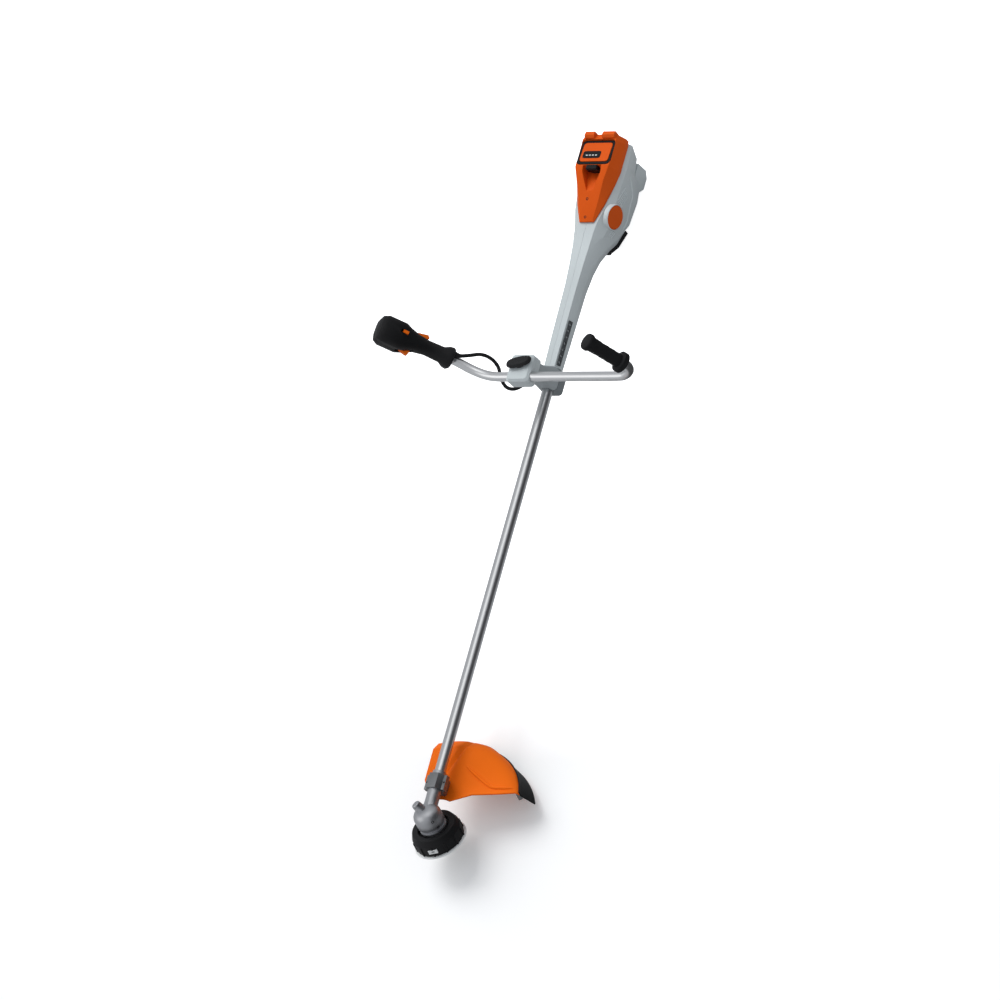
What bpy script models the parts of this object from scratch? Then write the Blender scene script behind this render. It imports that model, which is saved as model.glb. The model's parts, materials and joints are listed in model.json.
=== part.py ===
"""Cordless brush cutter with a bike handlebar, as an assembly of separate pieces.

Machine frame, in metres: x runs forward along the shaft from the handlebar
clamp, y to the operator's left, z up from the shaft axis.  At the end the
whole machine is laid on the ground on its guard and rear foot.
"""
import math

import bmesh
import bpy
import numpy as np
from mathutils import Matrix, Vector

for leftover in list(bpy.data.objects):
    bpy.data.objects.remove(leftover, do_unlink=True)

# Clearances
SEAT_GAP = 0.0003
RUN_GAP = 0.0006
SLIDE_GAP = 0.0005

# Shaft and drive line
SHAFT_DIAMETER = 0.0254
SHAFT_WALL = 0.0016
SHAFT_REAR_X = -0.300
DRIVE_SHAFT_DIAMETER = 0.008
BUSH_LENGTH = 0.020
BUSH_POSITIONS = (-0.270, 0.300, 0.870)

# Gearbox: the pinion and spindle axes cross at GEAR_X
GEAR_X = 1.053
CUT_ANGLE = math.radians(20.0)
PINION_TEETH = 12
CROWN_TEETH = 16
GEAR_MODULE = 0.0017
GEAR_FACE = 0.0080
GEAR_BACKLASH = 0.00035
GEAR_FLOAT = 0.0003
PINION_BEARING_OD = 0.024
PINION_BEARING_WIDTH = 0.009
SPINDLE_DIAMETER = 0.010
SPINDLE_BEARING_OD = 0.026
SPINDLE_BEARING_WIDTH = 0.008
GEAR_NECK_DIAMETER = 0.0325
GEAR_NECK_LENGTH = 0.088
GEAR_SOCKET_DEPTH = 0.055
GEAR_CASE_RADIUS = 0.033
GEAR_CASE_TOP = 0.023
GEAR_CASE_BOTTOM = -0.036
FILLER_PLUG_DIAMETER = 0.020

# Mowing head
DRIVE_PLATE_DIAMETER = 0.060
DRIVE_PLATE_THICKNESS = 0.0035
HEAD_DIAMETER = 0.116
HEAD_TOP = -0.0425
HEAD_HEIGHT = 0.030
HEAD_WALL = 0.003
HEAD_RIBS = 12
COLLAR_RISE = 0.011
COLLAR_RADIUS = 0.052
COLLAR_BORE = 0.0385
RIM_DIAMETER = 0.128
RIM_THICKNESS = 0.006
SPOOL_DIAMETER = 0.100
BUMP_TRAVEL = 0.005
BUMP_DIAMETER = 0.056
BUMP_DROP = 0.010
SPRING_WIRE = 0.0012
SPRING_DIAMETER = 0.020
SPRING_TURNS = 5

# Guard, in the spindle frame
GUARD_RADIUS = 0.232
GUARD_HUB_RADIUS = 0.062
GUARD_WALL = 0.003
GUARD_LEFT = math.radians(62.0)
GUARD_RIM_HEIGHT = -0.030
SKIRT_DROP = 0.022
SKIRT_TIP_DROP = 0.016
SKIRT_WALL = 0.003
GUARD_CLAMP_X = 0.972
GUARD_CLAMP_LENGTH = 0.036

# Handlebar and its support
BAR_DIAMETER = 0.0222
BAR_WALL = 0.002
BAR_HEIGHT = 0.110
SUPPORT_LENGTH = 0.052
SUPPORT_WIDTH = 0.046
CLAMP_WIDTH = 0.062
CLAMP_LENGTH = 0.050
CLAMP_CAP_HEIGHT = 0.016
KNOB_LENGTH = 0.066
KNOB_WIDTH = 0.027
KNOB_HEIGHT = 0.014
CLAMP_SCREW_DIAMETER = 0.008

# Left grip
LEFT_GRIP_DIAMETER = 0.033
LEFT_GRIP_LENGTH = 0.112
LEFT_GRIP_FLANGE = 0.050
# Control handle
HANDLE_LENGTH = 0.190
HANDLE_GRIP_DIAMETER = 0.038
HANDLE_HEAD_WIDTH = 0.056
HANDLE_HEAD_DEPTH = 0.066
SLIDER_TRAVEL = 0.005
PIN_DIAMETER = 0.004
CABLE_DIAMETER = 0.0085

# Motor housing and neck
LID_FRONT_X = -0.435
HOUSING_REAR_X = -0.652
HOUSING_HALF_WIDTH = 0.062
NECK_FRONT_HALF_WIDTH = 0.0215
HOUSING_WALL = 0.003
PARTING_Z = 0.030
LID_TOP_Z = 0.070
BELLY_Z = -0.088
FOOT_Z = -0.105

# Battery
BATTERY_WIDTH = 0.092
BATTERY_LENGTH = 0.064
BATTERY_DEPTH = 0.070
BATTERY_X = -0.599
BATTERY_TILT = math.radians(5.0)

# Motor
MOTOR_X = -0.471
STATOR_DIAMETER = 0.050
STATOR_LENGTH = 0.036
ROTOR_DIAMETER = 0.036
FAN_DIAMETER = 0.046
FAN_BLADES = 9

MACHINE = bpy.data.objects.new("machine_frame", None)
bpy.context.scene.collection.objects.link(MACHINE)


# Helpers

def frame(name, location, rotation=None, parent=MACHINE):
    """An empty on a joint axis or at a sub-assembly's own origin."""
    empty = bpy.data.objects.new(name, None)
    bpy.context.scene.collection.objects.link(empty)
    turn = rotation.to_4x4() if rotation is not None else Matrix.Identity(4)
    empty.parent = parent
    empty.matrix_local = Matrix.Translation(location) @ turn
    return empty


def axes(x_axis, y_axis, z_axis):
    """A rotation whose columns are three machine directions."""
    return Matrix((x_axis, y_axis, z_axis)).transposed()


def finish(name):
    """A Principled material for one piece, from the table of finishes."""
    color, roughness, metallic = FINISHES[name]
    material = bpy.data.materials.new(name)
    material.use_nodes = True
    shader = material.node_tree.nodes["Principled BSDF"]
    shader.inputs["Base Color"].default_value = (*color, 1.0)
    shader.inputs["Roughness"].default_value = roughness
    shader.inputs["Metallic"].default_value = metallic
    return material


FINISHES = {
    "orange_plastic": ((0.86, 0.16, 0.01), 0.38, 0.0),
    "grey_plastic": ((0.55, 0.59, 0.61), 0.45, 0.0),
    "black_plastic": ((0.018, 0.018, 0.020), 0.5, 0.0),
    "white_plastic": ((0.82, 0.82, 0.80), 0.4, 0.0),
    "black_rubber": ((0.015, 0.015, 0.016), 0.8, 0.0),
    "aluminium": ((0.62, 0.63, 0.65), 0.35, 1.0),
    "cast_aluminium": ((0.45, 0.46, 0.48), 0.5, 1.0),
    "steel": ((0.45, 0.45, 0.46), 0.3, 1.0),
    "copper": ((0.72, 0.36, 0.18), 0.35, 1.0),
    "board_green": ((0.03, 0.16, 0.07), 0.5, 0.0),
}
NODES = []


def piece(name, mesh_builder, finish_name, parent=MACHINE, smooth=35.0):
    """One named node: its mesh from a bmesh, its own material, its parent frame."""
    mesh = bpy.data.meshes.new(name)
    bmesh.ops.recalc_face_normals(mesh_builder, faces=mesh_builder.faces)
    mesh_builder.to_mesh(mesh)
    mesh_builder.free()
    mesh.materials.append(finish(finish_name))
    mesh.shade_smooth()
    mesh.set_sharp_from_angle(angle=math.radians(smooth))
    obj = bpy.data.objects.new(name, mesh)
    bpy.context.scene.collection.objects.link(obj)
    obj.parent = parent
    NODES.append(obj)
    return obj


def cutter(mesh_builder, parent=MACHINE):
    """A hidden tool body for a cut or a union."""
    mesh = bpy.data.meshes.new("tool")
    bmesh.ops.recalc_face_normals(mesh_builder, faces=mesh_builder.faces)
    mesh_builder.to_mesh(mesh)
    mesh_builder.free()
    obj = bpy.data.objects.new("tool", mesh)
    bpy.context.scene.collection.objects.link(obj)
    obj.parent = parent
    obj.hide_render = True
    obj.display_type = 'WIRE'
    return obj


def combine(obj, tool, operation='DIFFERENCE'):
    """Cut a tool from a piece, or join it on."""
    modifier = obj.modifiers.new(operation.lower(), 'BOOLEAN')
    modifier.operation = operation
    modifier.solver = 'EXACT'
    modifier.object = tool
    return obj


def skin(rings, closed_along=False):
    """A closed body through rings of equal count, with flat end caps."""
    builder = bmesh.new()
    loops = [[builder.verts.new(point) for point in ring] for ring in rings]
    count = len(loops[0])
    pairs = list(zip(loops, loops[1:]))
    if closed_along:
        pairs.append((loops[-1], loops[0]))
    for first, second in pairs:
        for i in range(count):
            j = (i + 1) % count
            builder.faces.new((first[i], first[j], second[j], second[i]))
    if not closed_along:
        builder.faces.new(list(reversed(loops[0])))
        builder.faces.new(loops[-1])
    return builder


def circle(radius, height, sides, phase=0.0):
    """A ring of points about the local z axis."""
    angles = [phase + math.tau * i / sides for i in range(sides)]
    return [(radius * math.cos(a), radius * math.sin(a), height) for a in angles]


def turned(profile, sides=32):
    """A solid of revolution about z from (radius, height) stations, ends flat."""
    return skin([circle(radius, height, sides) for radius, height in profile])


def turned_ring(profile, sides=32):
    """A closed (radius, height) profile swept once round z."""
    rings = []
    for i in range(sides):
        angle = math.tau * i / sides
        rings.append([(r * math.cos(angle), r * math.sin(angle), z) for r, z in profile])
    return skin(rings, closed_along=True)


def sleeve(outer, inner, low, high, sides=32):
    """A plain ring with a bore."""
    return turned_ring([(inner, low), (outer, low), (outer, high), (inner, high)], sides)


def block(x0, x1, y0, y1, z0, z1):
    """A rectangular body between two corners."""
    ring = [(x0, y0), (x1, y0), (x1, y1), (x0, y1)]
    return skin([[(x, y, z0) for x, y in ring], [(x, y, z1) for x, y in ring]])


def prism(outline, low, high):
    """An outline in the xy plane, extruded along z."""
    return skin([[(x, y, low) for x, y in outline], [(x, y, high) for x, y in outline]])


def rounded_outline(half_x, half_y, radius, steps=3):
    """A rectangle with round corners, counter-clockwise."""
    points = []
    corners = ((1, 1, 0), (-1, 1, 1), (-1, -1, 2), (1, -1, 3))
    for sx, sy, quarter in corners:
        for step in range(steps + 1):
            angle = math.pi / 2 * (quarter + step / steps)
            points.append((sx * (half_x - radius) + radius * math.cos(angle),
                           sy * (half_y - radius) + radius * math.sin(angle)))
    return points


def spline(points, steps):
    """A smooth curve through hand-chosen points, as evenly stepped samples."""
    nodes = np.array(points, dtype=float)
    before = 2 * nodes[0] - nodes[1]
    after = 2 * nodes[-1] - nodes[-2]
    padded = np.vstack([before, nodes, after])
    samples = []
    for i in range(len(nodes) - 1):
        a, b, c, d = padded[i:i + 4]
        for t in np.linspace(0.0, 1.0, steps, endpoint=False):
            samples.append(0.5 * (2 * b + (c - a) * t + (2 * a - 5 * b + 4 * c - d) * t ** 2
                                  + (3 * b - a - 3 * c + d) * t ** 3))
    samples.append(nodes[-1])
    return [Vector(sample) for sample in samples]


def thinned(path, least=math.radians(0.4)):
    """A path without the points where it runs straight."""
    kept = [path[0]]
    for i in range(1, len(path) - 1):
        if (path[i] - kept[-1]).angle(path[i + 1] - path[i]) > least:
            kept.append(path[i])
    kept.append(path[-1])
    return kept


def sweep_frames(path):
    """Frames along a path that turn as little as they can."""
    tangents = []
    for i in range(len(path)):
        ahead = path[min(i + 1, len(path) - 1)]
        behind = path[max(i - 1, 0)]
        tangents.append((ahead - behind).normalized())
    side = tangents[0].orthogonal().normalized()
    frames = []
    for point, tangent in zip(path, tangents):
        side = (side - tangent * side.dot(tangent)).normalized()
        frames.append((point, side, tangent.cross(side)))
    return frames


def swept(path, radius, sides=12):
    """A round bar along a path."""
    rings = []
    for point, side, up in sweep_frames(path):
        ring = []
        for i in range(sides):
            angle = math.tau * i / sides
            ring.append(point + radius * (math.cos(angle) * side + math.sin(angle) * up))
        rings.append(ring)
    return skin(rings)


def swept_tube(path, outer, inner, sides=20):
    """A round tube with an open bore along a path."""
    builder = bmesh.new()
    grids = []
    for radius in (outer, inner):
        grid = []
        for point, side, up in sweep_frames(path):
            ring = []
            for i in range(sides):
                angle = math.tau * i / sides
                offset = math.cos(angle) * side + math.sin(angle) * up
                ring.append(builder.verts.new(point + radius * offset))
            grid.append(ring)
        grids.append(grid)
    for grid in grids:
        for first, second in zip(grid, grid[1:]):
            for i in range(sides):
                j = (i + 1) % sides
                builder.faces.new((first[i], first[j], second[j], second[i]))
    for end in (0, -1):
        for i in range(sides):
            j = (i + 1) % sides
            builder.faces.new((grids[0][end][i], grids[0][end][j],
                               grids[1][end][j], grids[1][end][i]))
    return builder


# Sub-assembly frames
DRIVE = frame("drive_axis", (0, 0, 0), axes((0, 1, 0), (0, 0, 1), (1, 0, 0)))
CUT_UP = Vector((-math.sin(CUT_ANGLE), 0, math.cos(CUT_ANGLE)))
CUT_FORE = Vector((math.cos(CUT_ANGLE), 0, math.sin(CUT_ANGLE)))
SPINDLE = frame("spindle_axis", (GEAR_X, 0, 0), axes(CUT_FORE, (0, 1, 0), CUT_UP))

# Bevel pair: cone angles for axes that cross at a right angle plus the cut angle
SHAFT_ANGLE = math.pi / 2 + CUT_ANGLE
RATIO = CROWN_TEETH / PINION_TEETH
PINION_CONE = math.atan2(math.sin(SHAFT_ANGLE), RATIO + math.cos(SHAFT_ANGLE))
CROWN_CONE = SHAFT_ANGLE - PINION_CONE
CONE_DISTANCE = GEAR_MODULE * PINION_TEETH / 2 / math.sin(PINION_CONE)
FACE_INNER = CONE_DISTANCE - min(GEAR_FACE, CONE_DISTANCE / 3)
PRESSURE_ANGLE = math.radians(20.0)
ADDENDUM = GEAR_MODULE * 0.9
DEDENDUM = GEAR_MODULE * 1.25


def involute(angle):
    """The involute function of a pressure angle."""
    return math.tan(angle) - angle


def tooth_half_angle(offset, virtual_radius, virtual_teeth):
    """Half a tooth's angle on the back cone, at an offset from the pitch line."""
    at_pitch = math.pi / (2 * virtual_teeth) - GEAR_BACKLASH / (2 * virtual_radius)
    ratio = virtual_radius * math.cos(PRESSURE_ANGLE) / (virtual_radius + offset)
    local = math.acos(min(ratio, 1.0))
    return at_pitch + involute(PRESSURE_ANGLE) - involute(local)


def bevel_ring(teeth, cone, distance, phase):
    """One toothed ring on the back cone at a cone distance, apex at the origin."""
    scale = distance / CONE_DISTANCE
    pitch = distance * math.sin(cone)
    virtual_radius = pitch / math.cos(cone)
    virtual_teeth = teeth / math.cos(cone)
    stations = (-DEDENDUM * scale, 0.0, ADDENDUM * scale)
    flank = []
    for offset in stations:
        half = tooth_half_angle(offset, virtual_radius, virtual_teeth) / math.cos(cone)
        flank.append((offset, half))
    ring = []
    for tooth in range(teeth):
        middle = phase + math.tau * tooth / teeth
        sides = [(offset, -half) for offset, half in flank]
        sides += [(offset, half) for offset, half in reversed(flank)]
        for offset, half in sides:
            radius = pitch + offset * math.cos(cone)
            height = distance * math.cos(cone) - offset * math.sin(cone)
            ring.append((radius * math.cos(middle + half), radius * math.sin(middle + half), height))
    return ring


def ring_angles(ring):
    """The angle of each point of a ring about z."""
    return [math.atan2(y, x) for x, y, z in ring]


def bevel_gear(teeth, cone, phase, bore, hub_back, hub_radius):
    """A bevel gear with its apex at the origin and its back towards plus z."""
    outer = bevel_ring(teeth, cone, CONE_DISTANCE, phase)
    inner = bevel_ring(teeth, cone, FACE_INNER, phase)
    angles = ring_angles(outer)
    front = FACE_INNER * math.cos(cone) + DEDENDUM * math.sin(cone)
    back = CONE_DISTANCE * math.cos(cone) + DEDENDUM * math.sin(cone) * 1.2
    front_radius = bore + 0.0008

    def around(radius, height):
        return [(radius * math.cos(a), radius * math.sin(a), height) for a in angles]

    rings = [around(bore, hub_back), around(hub_radius, hub_back), around(hub_radius, back),
             outer, inner, around(front_radius, front), around(bore, front)]
    return skin(rings, closed_along=True)


def flipped(builder):
    """Turn a body end for end about x, so its plus z becomes minus z."""
    bmesh.ops.rotate(builder, verts=builder.verts, cent=(0, 0, 0),
                     matrix=Matrix.Rotation(math.pi, 3, 'X'))
    return builder


def shifted(builder, offset):
    """Move a body before it becomes a piece."""
    bmesh.ops.translate(builder, verts=builder.verts, vec=offset)
    return builder


# The pinion points back along the shaft with a gap below; the crown's tooth meets it
DRIVE_RADIUS = DRIVE_SHAFT_DIAMETER / 2
PINION_BACK = GEAR_X - 0.020
PINION_HUB_RADIUS = 0.0066
BEARING_BORE = PINION_HUB_RADIUS + SEAT_GAP
PINION_END = GEAR_X - 0.033
pinion_phase = math.pi / 2 + math.pi / PINION_TEETH
pinion = flipped(bevel_gear(PINION_TEETH, PINION_CONE, pinion_phase, DRIVE_RADIUS + SEAT_GAP,
                            GEAR_X - PINION_END, PINION_HUB_RADIUS))
piece("bevel_pinion", shifted(pinion, (0, 0, GEAR_X - GEAR_FLOAT)), "steel", DRIVE)
piece("pinion_bearing", sleeve(PINION_BEARING_OD / 2, BEARING_BORE,
                               PINION_BACK - 0.0005 - PINION_BEARING_WIDTH,
                               PINION_BACK - 0.0005, 28), "steel", DRIVE)
DRIVE_FRONT = GEAR_X - 0.012
SPINDLE_RADIUS = SPINDLE_DIAMETER / 2
CROWN_HUB_RADIUS = 0.0085
CROWN_HUB_BACK = 0.0110
crown = flipped(bevel_gear(CROWN_TEETH, CROWN_CONE, math.pi, SPINDLE_RADIUS + SEAT_GAP,
                           CROWN_HUB_BACK, CROWN_HUB_RADIUS))
piece("crown_gear", shifted(crown, (0, 0, -GEAR_FLOAT)), "steel", SPINDLE)
UPPER_BEARING = -CROWN_HUB_BACK - GEAR_FLOAT - SEAT_GAP
LOWER_BEARING = UPPER_BEARING - SPINDLE_BEARING_WIDTH - 0.004
SPINDLE_TOP = -0.0065
NUT_HEIGHT = 0.006
PLATE_TOP = GEAR_CASE_BOTTOM - 0.0015
PLATE_BOTTOM = PLATE_TOP - DRIVE_PLATE_THICKNESS
SPINDLE_BOTTOM = HEAD_TOP - HEAD_WALL - NUT_HEIGHT
piece("output_spindle", turned([(SPINDLE_RADIUS, SPINDLE_BOTTOM), (SPINDLE_RADIUS, SPINDLE_TOP)], 24),
      "steel", SPINDLE)
for label, top in (("upper", UPPER_BEARING), ("lower", LOWER_BEARING)):
    piece(f"{label}_spindle_bearing",
          sleeve(SPINDLE_BEARING_OD / 2, SPINDLE_RADIUS + SEAT_GAP, top - SPINDLE_BEARING_WIDTH, top, 28),
          "steel", SPINDLE)
SEAL_TOP = LOWER_BEARING - SPINDLE_BEARING_WIDTH - SEAT_GAP
piece("spindle_seal", sleeve(SPINDLE_BEARING_OD / 2, SPINDLE_RADIUS + SEAT_GAP, GEAR_CASE_BOTTOM + SEAT_GAP,
                             SEAL_TOP, 28), "black_rubber", SPINDLE)
piece("drive_plate", sleeve(DRIVE_PLATE_DIAMETER / 2, SPINDLE_RADIUS + SEAT_GAP, PLATE_BOTTOM, PLATE_TOP,
                            32),
      "steel", SPINDLE)


DOME_SQUARENESS = 0.72


def gear_case():
    """The cast case: a domed pot on the spindle axis with the shaft's socket neck."""
    dome = [(GEAR_CASE_RADIUS * 0.80, GEAR_CASE_BOTTOM), (GEAR_CASE_RADIUS * 0.86, GEAR_CASE_BOTTOM + 0.010),
            (GEAR_CASE_RADIUS, GEAR_CASE_BOTTOM + 0.016)]
    for step in range(7):
        angle = math.pi / 2 * step / 7
        dome.append((GEAR_CASE_RADIUS * math.cos(angle) ** DOME_SQUARENESS,
                     GEAR_CASE_TOP * math.sin(angle) * 0.98 + 0.0005))
    case = piece("gearbox_housing", turned(dome, 28), "cast_aluminium", SPINDLE)
    neck_radius = GEAR_NECK_DIAMETER / 2
    neck_rear = GEAR_X - 0.020 - GEAR_NECK_LENGTH
    neck = turned([(neck_radius, neck_rear), (neck_radius, neck_rear + 0.030),
                   (neck_radius * 0.96, GEAR_X - 0.040),
                   (neck_radius * 0.98, GEAR_X - 0.012)], 28)
    combine(case, cutter(neck, DRIVE), 'UNION')
    boss = turned([(FILLER_PLUG_DIAMETER * 0.62, 0), (FILLER_PLUG_DIAMETER * 0.56, FILLER_REACH)], 20)
    combine(case, cutter(boss, FILLER), 'UNION')
    flange = turned([(GEAR_CASE_RADIUS * 0.97, GEAR_CASE_BOTTOM),
                     (GEAR_CASE_RADIUS * 0.97, GEAR_CASE_BOTTOM + 0.005)], 28)
    combine(case, cutter(flange, SPINDLE), 'UNION')
    socket_front = neck_rear + GEAR_SOCKET_DEPTH
    socket = turned([(SHAFT_DIAMETER / 2 + SEAT_GAP, neck_rear - 0.01),
                     (SHAFT_DIAMETER / 2 + SEAT_GAP, socket_front)], 28)
    combine(case, cutter(socket, DRIVE))
    bearing_seat = turned([(PINION_BEARING_OD / 2 + SEAT_GAP, socket_front - 0.001),
                           (PINION_BEARING_OD / 2 + SEAT_GAP, PINION_BACK)], 28)
    combine(case, cutter(bearing_seat, DRIVE))
    chamber = turned([(0.0135, PINION_BACK - 0.001), (0.0135, GEAR_X - 0.006)], 20)
    combine(case, cutter(chamber, DRIVE))
    gear_space = turned([(0.0182, -CROWN_HUB_BACK + 0.002), (0.0182, 0.003)], 28)
    combine(case, cutter(gear_space, SPINDLE))
    spindle_bore = turned([(SPINDLE_BEARING_OD / 2 + SEAT_GAP, GEAR_CASE_BOTTOM - 0.01),
                           (SPINDLE_BEARING_OD / 2 + SEAT_GAP, -CROWN_HUB_BACK + 0.003)], 28)
    combine(case, cutter(spindle_bore, SPINDLE))
    plug_hole = turned([(FILLER_PLUG_DIAMETER * 0.36 + SEAT_GAP, FILLER_REACH - 0.010),
                        (FILLER_PLUG_DIAMETER * 0.36 + SEAT_GAP, FILLER_REACH + 0.01)], 16)
    combine(case, cutter(plug_hole, FILLER))
    return case


FILLER_REACH = 0.036
FILLER_DIRECTION = Vector((-0.30, -0.38, 0.87)).normalized()
FILLER_SIDE = FILLER_DIRECTION.orthogonal().normalized()
FILLER = frame("filler_axis", (GEAR_X, 0, 0),
               axes(FILLER_SIDE, FILLER_DIRECTION.cross(FILLER_SIDE), FILLER_DIRECTION))
gear_case()
piece("filler_plug", turned([(FILLER_PLUG_DIAMETER * 0.36, FILLER_REACH - 0.008),
                             (FILLER_PLUG_DIAMETER * 0.36, FILLER_REACH + SEAT_GAP),
                             (FILLER_PLUG_DIAMETER * 0.52, FILLER_REACH + SEAT_GAP),
                             (FILLER_PLUG_DIAMETER * 0.52, FILLER_REACH + 0.004),
                             (FILLER_PLUG_DIAMETER * 0.40, FILLER_REACH + 0.006)], 16), "black_plastic",
                             FILLER)


# Mowing head, turning with the spindle
HEAD = frame("mowing_head_axis", (0, 0, 0), parent=SPINDLE)
HEAD_RADIUS = HEAD_DIAMETER / 2
HEAD_BOTTOM = HEAD_TOP - HEAD_HEIGHT
SPOOL_RADIUS = SPOOL_DIAMETER / 2
BUMP_RADIUS = BUMP_DIAMETER / 2


def mowing_head_body():
    """A drum open below, with a collar round the gear case, upright ribs and two line windows."""
    inner = HEAD_RADIUS - HEAD_WALL
    hub = SPINDLE_RADIUS + SEAT_GAP
    profile = [(hub, HEAD_TOP), (hub, HEAD_TOP - HEAD_WALL), (inner, HEAD_TOP - HEAD_WALL - 0.003),
               (inner, HEAD_BOTTOM), (HEAD_RADIUS, HEAD_BOTTOM), (HEAD_RADIUS, HEAD_TOP - 0.004),
               (COLLAR_RADIUS, HEAD_TOP + COLLAR_RISE), (COLLAR_BORE, HEAD_TOP + COLLAR_RISE),
               (COLLAR_BORE, HEAD_TOP)]
    head = piece("mowing_head_body", turned_ring(profile, 36), "black_plastic", HEAD)
    for index in range(HEAD_RIBS):
        angle = math.tau * (index + 0.5) / HEAD_RIBS
        rib = block(HEAD_RADIUS - 0.0015, HEAD_RADIUS + 0.002, -0.002, 0.002,
                    HEAD_BOTTOM, HEAD_TOP - 0.006)
        bmesh.ops.rotate(rib, verts=rib.verts, cent=(0, 0, 0), matrix=Matrix.Rotation(angle, 3, 'Z'))
        combine(head, cutter(rib, HEAD), 'UNION')
    for index in range(2):
        window = block(HEAD_RADIUS - 0.008, HEAD_RADIUS + 0.008, -EYELET_WIDTH / 2 - SEAT_GAP,
                       EYELET_WIDTH / 2 + SEAT_GAP, EYELET_Z - EYELET_HEIGHT / 2 - SEAT_GAP,
                       EYELET_Z + EYELET_HEIGHT / 2 + SEAT_GAP)
        bmesh.ops.rotate(window, verts=window.verts, cent=(0, 0, 0),
                         matrix=Matrix.Rotation(EYELET_ANGLE + math.pi * index, 3, 'Z'))
        combine(head, cutter(window, HEAD))
    return head


EYELET_WIDTH = 0.022
EYELET_HEIGHT = 0.010
EYELET_Z = HEAD_BOTTOM + 0.014
EYELET_ANGLE = math.radians(15.0)
mowing_head_body()
for index in range(2):
    eyelet = block(HEAD_RADIUS - 0.0035, HEAD_RADIUS + 0.0015, -EYELET_WIDTH / 2, EYELET_WIDTH / 2,
                   EYELET_Z - EYELET_HEIGHT / 2, EYELET_Z + EYELET_HEIGHT / 2)
    turn = Matrix.Rotation(EYELET_ANGLE + math.pi * index, 3, 'Z')
    bmesh.ops.rotate(eyelet, verts=eyelet.verts, cent=(0, 0, 0), matrix=turn)
    outlet = piece(f"line_eyelet_{index + 1}", eyelet, "white_plastic", HEAD)
    hole = block(HEAD_RADIUS - 0.02, HEAD_RADIUS + 0.02, -0.004, 0.004, EYELET_Z - 0.002, EYELET_Z + 0.002)
    bmesh.ops.rotate(hole, verts=hole.verts, cent=(0, 0, 0), matrix=turn)
    combine(outlet, cutter(hole, HEAD))
RIM_TOP = HEAD_BOTTOM - SEAT_GAP
RIM_BOTTOM = RIM_TOP - RIM_THICKNESS
RIM_RADIUS = RIM_DIAMETER / 2
RIM_BORE = BUMP_RADIUS + 0.001
piece("head_rim_plate", turned_ring([(RIM_BORE, RIM_TOP), (RIM_BORE, RIM_BOTTOM - 0.002),
                                     (RIM_RADIUS - 0.012, RIM_BOTTOM - 0.001),
                                     (RIM_RADIUS - 0.002, RIM_BOTTOM + 0.002),
                                     (RIM_RADIUS, RIM_TOP - 0.002), (RIM_RADIUS - 0.0015, RIM_TOP)], 40),
      "white_plastic", HEAD)
piece("spindle_nut", skin([circle(0.0085, HEAD_TOP - HEAD_WALL - SEAT_GAP - NUT_HEIGHT, 6),
                           circle(0.0085, HEAD_TOP - HEAD_WALL - SEAT_GAP, 6)]), "steel", HEAD)
combine(bpy.data.objects["spindle_nut"],
        cutter(turned([(SPINDLE_RADIUS + SEAT_GAP, SPINDLE_BOTTOM - 0.005),
                       (SPINDLE_RADIUS + SEAT_GAP, HEAD_TOP)], 24),
               HEAD))

# The spool and its bump cap slide together inside the head
BUMP = frame("bump_axis", (0, 0, 0), parent=HEAD)
SPOOL_LOW = RIM_TOP + SEAT_GAP
SPOOL_HIGH = HEAD_TOP - HEAD_WALL - 0.003 - SEAT_GAP - BUMP_TRAVEL
SPOOL_CORE = 0.026
SPOOL_BORE = 0.0150
piece("line_spool", turned_ring([(SPOOL_BORE, SPOOL_LOW), (SPOOL_RADIUS, SPOOL_LOW),
                                 (SPOOL_RADIUS, SPOOL_LOW + 0.0025), (SPOOL_CORE, SPOOL_LOW + 0.0025),
                                 (SPOOL_CORE, SPOOL_HIGH - 0.0025), (SPOOL_RADIUS, SPOOL_HIGH - 0.0025),
                                 (SPOOL_RADIUS, SPOOL_HIGH), (SPOOL_BORE, SPOOL_HIGH)], 28),
                                 "black_plastic", BUMP)
BUMP_TOP = SPOOL_LOW - SEAT_GAP
piece("bump_cap", turned([(BUMP_RADIUS * 0.55, RIM_BOTTOM - BUMP_DROP),
                          (BUMP_RADIUS * 0.80, RIM_BOTTOM - BUMP_DROP * 0.85),
                          (BUMP_RADIUS * 0.94, RIM_BOTTOM - BUMP_DROP * 0.55),
                          (BUMP_RADIUS, RIM_BOTTOM - 0.001),
                          (BUMP_RADIUS, BUMP_TOP)], 32), "black_plastic", BUMP)


def helix(radius, wire, low, high, turns, per_turn=9):
    """Points of a spring's centre line, and its least gap to itself, printed."""
    count = turns * per_turn
    rise = high - low - wire
    points = []
    for i in range(count + 1):
        angle = math.tau * i / per_turn
        points.append(Vector((radius * math.cos(angle), radius * math.sin(angle),
                              low + wire / 2 + rise * i / count)))
    gap = min((points[i] - points[j]).length for i in range(len(points))
              for j in range(i + per_turn - 1, len(points))) - wire
    print(f"spring least gap to itself {gap * 1000:.2f} mm")
    return points


SPRING_RADIUS = SPRING_DIAMETER / 2
spring_path = helix(SPRING_RADIUS, SPRING_WIRE, BUMP_TOP + SEAT_GAP, SPOOL_HIGH, SPRING_TURNS)
piece("spool_spring", swept(spring_path, SPRING_WIRE / 2, 6), "steel", BUMP)


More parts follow.
